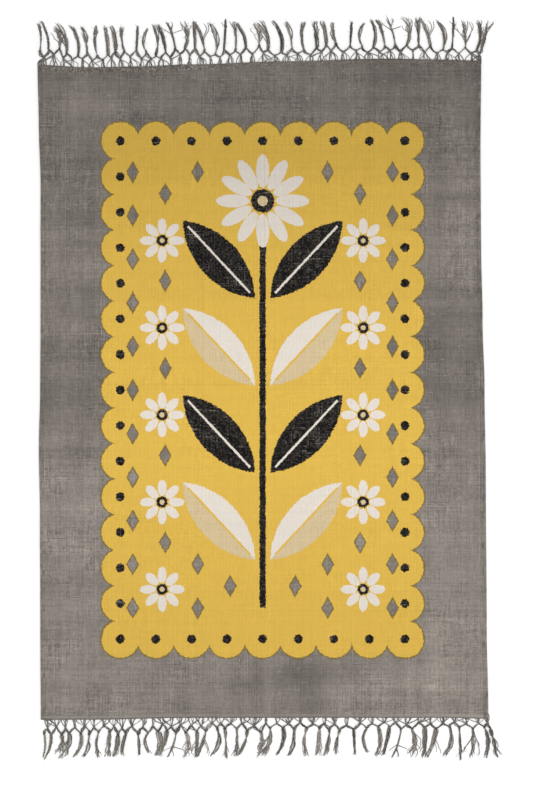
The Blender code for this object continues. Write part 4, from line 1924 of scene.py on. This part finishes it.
    def _lay_splits(self, yarn: YarnMesh) -> None:
        """Lays the half bundles that run from each first knot to the two second knots beside it.

        Args:
            yarn: What they join.
        """
        draws, strands = self.draws, self.split_strands
        low_x, low_out = (part[:, None] for part in self.lower)
        count = len(low_x)
        share = np.linspace(0.0, 1.0, self.kit.short_steps)
        bow = np.sin(math.pi * share)
        for side in (0, 1):
            goal_x, goal_out = (part[side:side + count, None] for part in self.upper)
            slack = draws.uniform(-0.0012, 0.0034, count)[:, None] * (1 if side else -1)
            width = draws.uniform(0.0008, 0.0021, count)[:, None] * self.plan.fullness
            wide_start, wide_end = draws.uniform(0.6, 1.5, (count, 2, 1)).transpose(1, 0, 2)
            base = draws.uniform(0.10, 0.55, count)
            for strand in range(strands):
                turn = FULL_TURN * (strand / strands + 0.7 * share[None] + draws.random((count, 1)) * 0.4)
                axis_x = low_x + (goal_x - low_x) * share + slack * bow
                if strand < self.slack_strands:
                    axis_x = axis_x + draws.normal(0.0, 0.0022, count)[:, None] * bow
                x = axis_x + width * (wide_start + (wide_end - wide_start) * share) * np.cos(turn)
                out = low_out + (goal_out - low_out) * share
                z = self.split_height + 0.7 * width * np.sin(turn)
                radii = self.split_radius * (1.0 + draws.normal(0.0, 0.09, x.shape))
                tones = np.clip(base + draws.normal(0.0, 0.20, count), 0.0, 1.0)
                yarn.sweep(self.kit.short, self._world(x, out, z), radii, tones)

    def _tie_knots(self, yarn: YarnMesh) -> None:
        """Sets down a knot at each place of both rows.

        Args:
            yarn: What they join.
        """
        draws, knot = self.draws, self.kit.knot
        upright = 0.0 if self.end is End.FAR else math.pi
        rows = zip((self.lower, self.upper), self.knot_tones, self.knot_sizes)
        for (knots_x, knots_out), tone, size in rows:
            count = len(knots_x)
            scale = size * draws.uniform(0.85, 1.12, count)
            turn = draws.normal(0.0, 0.45, count) + upright
            spin = np.array([Matrix.Rotation(angle, 3, "Z") for angle in turn]) * scale[:, None, None]
            places = self._world(knots_x, knots_out, self.knot_height * scale)
            points = knot.points @ spin.transpose(0, 2, 1) + places[:, None]
            maps = np.broadcast_to(knot.maps, (count, *knot.maps.shape)) * self.knot_map
            yarn.add(knot, points, maps, tone + draws.uniform(-0.2, 0.2, count))

    def _lay_lock(self, yarn: YarnMesh, lock: Lock, knot: Pair) -> None:
        """Lays one loose lock: its main strands, the strands that part from it and its strays.

        Args:
            yarn: What it joins.
            lock: The lock's sizes.
            knot: Its knot's x and distance out.
        """
        draws, habit = self.draws, lock.style.value
        parted = sum(0 if fork.fine else fork.strands for fork in lock.forks)
        strands = self.least_strands + self.strands_per_metre * lock.width - self.strands_per_parted * parted
        forks = [Fork(max(int(round(strands)), 2), 0.0, 0.0), *lock.forks]
        for _ in range(habit.strays):
            aside, bulge = draws.normal(0.0, habit.stray_bow, 2)
            forks.append(Fork(1, draws.uniform(0.0, 0.5), aside, bulge, draws.uniform(0.7, 1.0), True))
        for fork in forks:
            self._lay_strands(yarn, lock, fork, knot)

    def _lay_strands(self, yarn: YarnMesh, lock: Lock, fork: Fork, knot: Pair) -> None:
        """Lays strands of one lock that run together, each with its own waves.

        Args:
            yarn: What they join.
            lock: The lock's sizes.
            fork: How many there are and how they part from the lock.
            knot: The lock's knot's x and distance out.
        """
        draws, habit, count, full = self.draws, lock.style.value, fork.strands, self.plan.fullness
        knot_x, knot_out = knot
        shape = (count, self.kit.long_steps)
        share = np.linspace(0.0, 1.0, self.kit.long_steps)[None]
        longest = lock.reach * np.interp(knot_x, self.reach_places, self.plan.reach_shares) - knot_out
        short = draws.uniform(0.0, 1.0, count) ** 2 * habit.ragged * 1.6
        run = share * fork.reach * (1.02 - short)[:, None]
        gone = np.clip((run - fork.start) / (fork.reach - fork.start), 0.0, 1.0)
        own_width = self.fork_spacing * (count - 1) + self.fork_width
        if fork.start == 0.0:
            own_width = lock.width * habit.spread
        width = np.interp(share, *zip(*self.width_profile, (1.0, habit.splay * self.tip_splay)))
        width = width * np.interp(share, (0.0, 0.7), (full ** 2, 1.0))
        place = (np.arange(count) + 0.5) / count * 2.0 - 1.0 if count > 1 else np.zeros(1)
        place = place[:, None] + draws.normal(0.0, 0.18, count)[:, None]
        twist = draws.normal(0.0, 0.5) * math.pi
        sideways = place * np.cos(twist * (1.0 - share) ** 2) * own_width / 2 * width
        turns = draws.uniform(1.2, 2.8, count)[:, None] * share + draws.random(count)[:, None]
        wave = habit.wave * np.sin(FULL_TURN * turns) * share
        wave = wave + draws.normal(0.0, self.crimp, shape) * smooth(share * 8.0)
        curl = habit.wave * 1.6 * draws.normal(0.0, 1.0, count)[:, None] * share ** 3
        parting = fork.aside * smooth(gone) + fork.bulge * np.sin(math.pi * gone)
        course = knot_x + lock.lean * run + lock.bow * 4 * run * (1 - run)
        x = course + sideways + parting + wave + curl
        out = knot_out + 0.0010 + run * longest
        radii = self.lock_radius * (self.fine_radius if fork.fine else 1.0)
        radii = radii * np.interp(share, *zip((0.0, full), *self.thinning))
        radii = radii * (1.0 + draws.normal(0.0, 0.10, shape))
        z = radii + draws.uniform(0.0, 1.0, count)[:, None] * np.interp(share, *zip(*self.layers))
        tone = lock.tone + (self.fine_tone if fork.fine else 0.0)
        tones = np.clip(tone + draws.normal(0.0, 0.32, count), 0.0, 1.0)
        yarn.sweep(self.kit.long, self._world(x, out, z, np.full_like(x, knot_x)), radii, tones)
        if fork.start == 0.0:
            self._lay_fuzz(yarn, x, out, knot_x, habit)

    def _lay_fuzz(self, yarn: YarnMesh, x: np.ndarray, out: np.ndarray, knot_x: float, habit: Habit) -> None:
        """Lays the loose fibres that stand off a lock's yarns.

        Args:
            yarn: What they join.
            x: The lock's yarns' places across.
            out: The lock's yarns' distances out.
            knot_x: The x of the lock's knot.
            habit: How the lock lies.
        """
        draws, count, steps = self.draws, habit.fuzz, self.kit.fibre_steps
        last = x.shape[1] - 1
        start = np.rint(draws.triangular(1, last, last, count)).astype(int)
        owner = draws.integers(0, x.shape[0], count)
        share = np.linspace(0.0, 1.0, steps)[None]
        heading = draws.uniform(-1.0, 1.0, count)[:, None]
        reach = draws.uniform(0.003, 0.012, count)[:, None] * share
        bend = draws.normal(0.0, 0.0030, count)[:, None] * share ** 2
        fibre_x = x[owner, start][:, None] + heading * reach + bend
        fibre_out = out[owner, start][:, None] + reach * (1.1 - abs(heading))
        z = 0.0005 + draws.uniform(0.0, 0.0022, count)[:, None] * (1.0 - share * 0.7)
        radii = np.full((count, steps), self.fibre_radius) * (1.0 - 0.5 * share)
        places = self._world(fibre_x, fibre_out, z, np.full_like(fibre_x, knot_x))
        yarn.sweep(self.kit.fibre, places, radii, draws.uniform(0.3, 1.0, count))

    def build(self) -> list[bpy.types.Object]:
        """Models the fringe as two pieces, the knotted net and the loose locks.

        Returns:
            The finished pieces.
        """
        node = "fringe_" + self.end.name.lower()
        net, loose = YarnMesh(), YarnMesh()
        self._lay_roots(net)
        self._lay_splits(net)
        self._tie_knots(net)
        for lock, *knot in zip(self.locks, *self.upper):
            self._lay_lock(loose, lock, knot)
        pieces = [net.build(node + "_net", self.yarn), loose.build(node + "_locks", self.yarn)]
        for piece in pieces:
            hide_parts(node)
        return pieces


# ---- Studio ----


@dataclass(frozen=True)
class Photograph:
    """Where the rug stands in the photograph, in its pixels, and the scale that the part was sized by."""

    width_px: float = 533.0
    height_px: float = 800.0
    left_edge_px: float = 40.3
    right_edge_px: float = 485.0
    far_edge_px: float = 62.5
    near_edge_px: float = 717.5

    def metres_per_px(self, shape: RugShape) -> float:
        """The length that one pixel spans on the cloth."""
        return shape.width / (self.right_edge_px - self.left_edge_px)

    def middle(self, shape: RugShape) -> Pair:
        """Finds the place in the frame that the photograph's middle looks at.

        Args:
            shape: The cloth's shape.

        Returns:
            Its x and y.
        """
        scale = self.metres_per_px(shape)
        x = (self.width_px - self.left_edge_px - self.right_edge_px) / 2 * scale
        y = (self.far_edge_px + self.near_edge_px - self.height_px) / 2 * scale
        return x + shape.shift.x, y + shape.shift.y


@dataclass(frozen=True)
class SoftLight:
    """A square area light: its name, its place, the point it looks at, its size and its power in watts."""

    name: str
    place: tuple[float, float, float]
    aim: tuple[float, float, float]
    size: float
    power: float

    def add(self) -> None:
        """Adds the light to the scene."""
        deselect_all()
        bpy.ops.object.light_add(type="AREA", location=self.place)
        light = named(self.name)
        light.data.shape = "SQUARE"
        light.data.size = self.size
        light.data.energy = self.power
        light.rotation_euler = (Vector(self.aim) - Vector(self.place)).to_track_quat("-Z", "Y").to_euler()


@dataclass
class Studio:
    """The pale floor, soft light and the camera straight above."""

    shape: RugShape
    photograph: Photograph = Photograph()
    lights: tuple[SoftLight, ...] = (
        SoftLight("overhead_light", (0.10, -1.05, 3.3), (0.05, -0.20, 0.0), 3.2, 43.0),
        SoftLight("side_light", (2.6, -0.9, 1.5), (0.0, 0.0, 0.0), 1.2, 8.0),
    )
    camera_height: float = 4.6
    clip_end: float = 100.0
    sensor: float = 36.0
    floor_size: float = 24.0
    sky: float = 0.80

    def add_floor(self) -> None:
        """Adds the floor just under the rug."""
        deselect_all()
        bpy.ops.mesh.primitive_plane_add(size=self.floor_size, location=(0.0, 0.0, 0.0))
        floor = named("floor")
        floor.data.materials.append(FloorFinish().material())

    def add_lights(self) -> None:
        """Adds a large light overhead, nearer the near end, a weaker one from the right, and a pale sky."""
        for light in self.lights:
            light.add()
        world = bpy.data.worlds.new("pale_room")
        world.use_nodes = True
        background = world.node_tree.nodes["Background"]
        background.inputs["Color"].default_value = (1.0, 1.0, 1.0, 1.0)
        background.inputs["Strength"].default_value = self.sky
        bpy.context.scene.world = world

    def add_camera(self) -> None:
        """Adds the camera, straight above and with the lens that the photograph's frame needs."""
        x, y = self.photograph.middle(self.shape)
        deselect_all()
        bpy.ops.object.camera_add(location=(x, y, self.camera_height), rotation=(0.0, 0.0, 0.0))
        camera = named("camera")
        frame_height = self.photograph.height_px * self.photograph.metres_per_px(self.shape)
        camera.data.sensor_fit = "VERTICAL"
        camera.data.sensor_height = self.sensor
        camera.data.lens = self.sensor * (self.camera_height - self.shape.thickness) / frame_height
        camera.data.clip_end = self.clip_end
        bpy.context.scene.camera = camera

    def build(self) -> None:
        """Sets up the whole studio."""
        self.add_floor()
        self.add_lights()
        self.add_camera()
        settings = bpy.context.scene.view_settings
        settings.view_transform = "Standard"
        settings.look = "None"


def main() -> None:
    """Builds the rug, piece by piece, and its studio."""
    logging.basicConfig(level=logging.INFO, format="%(name)s: %(message)s")
    shape = RugShape()
    cloth = RugSheet(shape, ClothFinish()).build()
    LOG.info("%s: %d faces", cloth.name, len(cloth.data.polygons))
    kit = YarnKit.model()
    yarn = YarnFinish().material()
    fringes = []
    for end in End:
        fringes += Fringe(end, shape, kit, yarn).build()
    for piece in fringes:
        LOG.info("%s: %d faces", piece.name, len(piece.data.polygons))
    Studio(shape).build()
    LOG.info("studio ready")


if __name__ == "__main__":
    main()
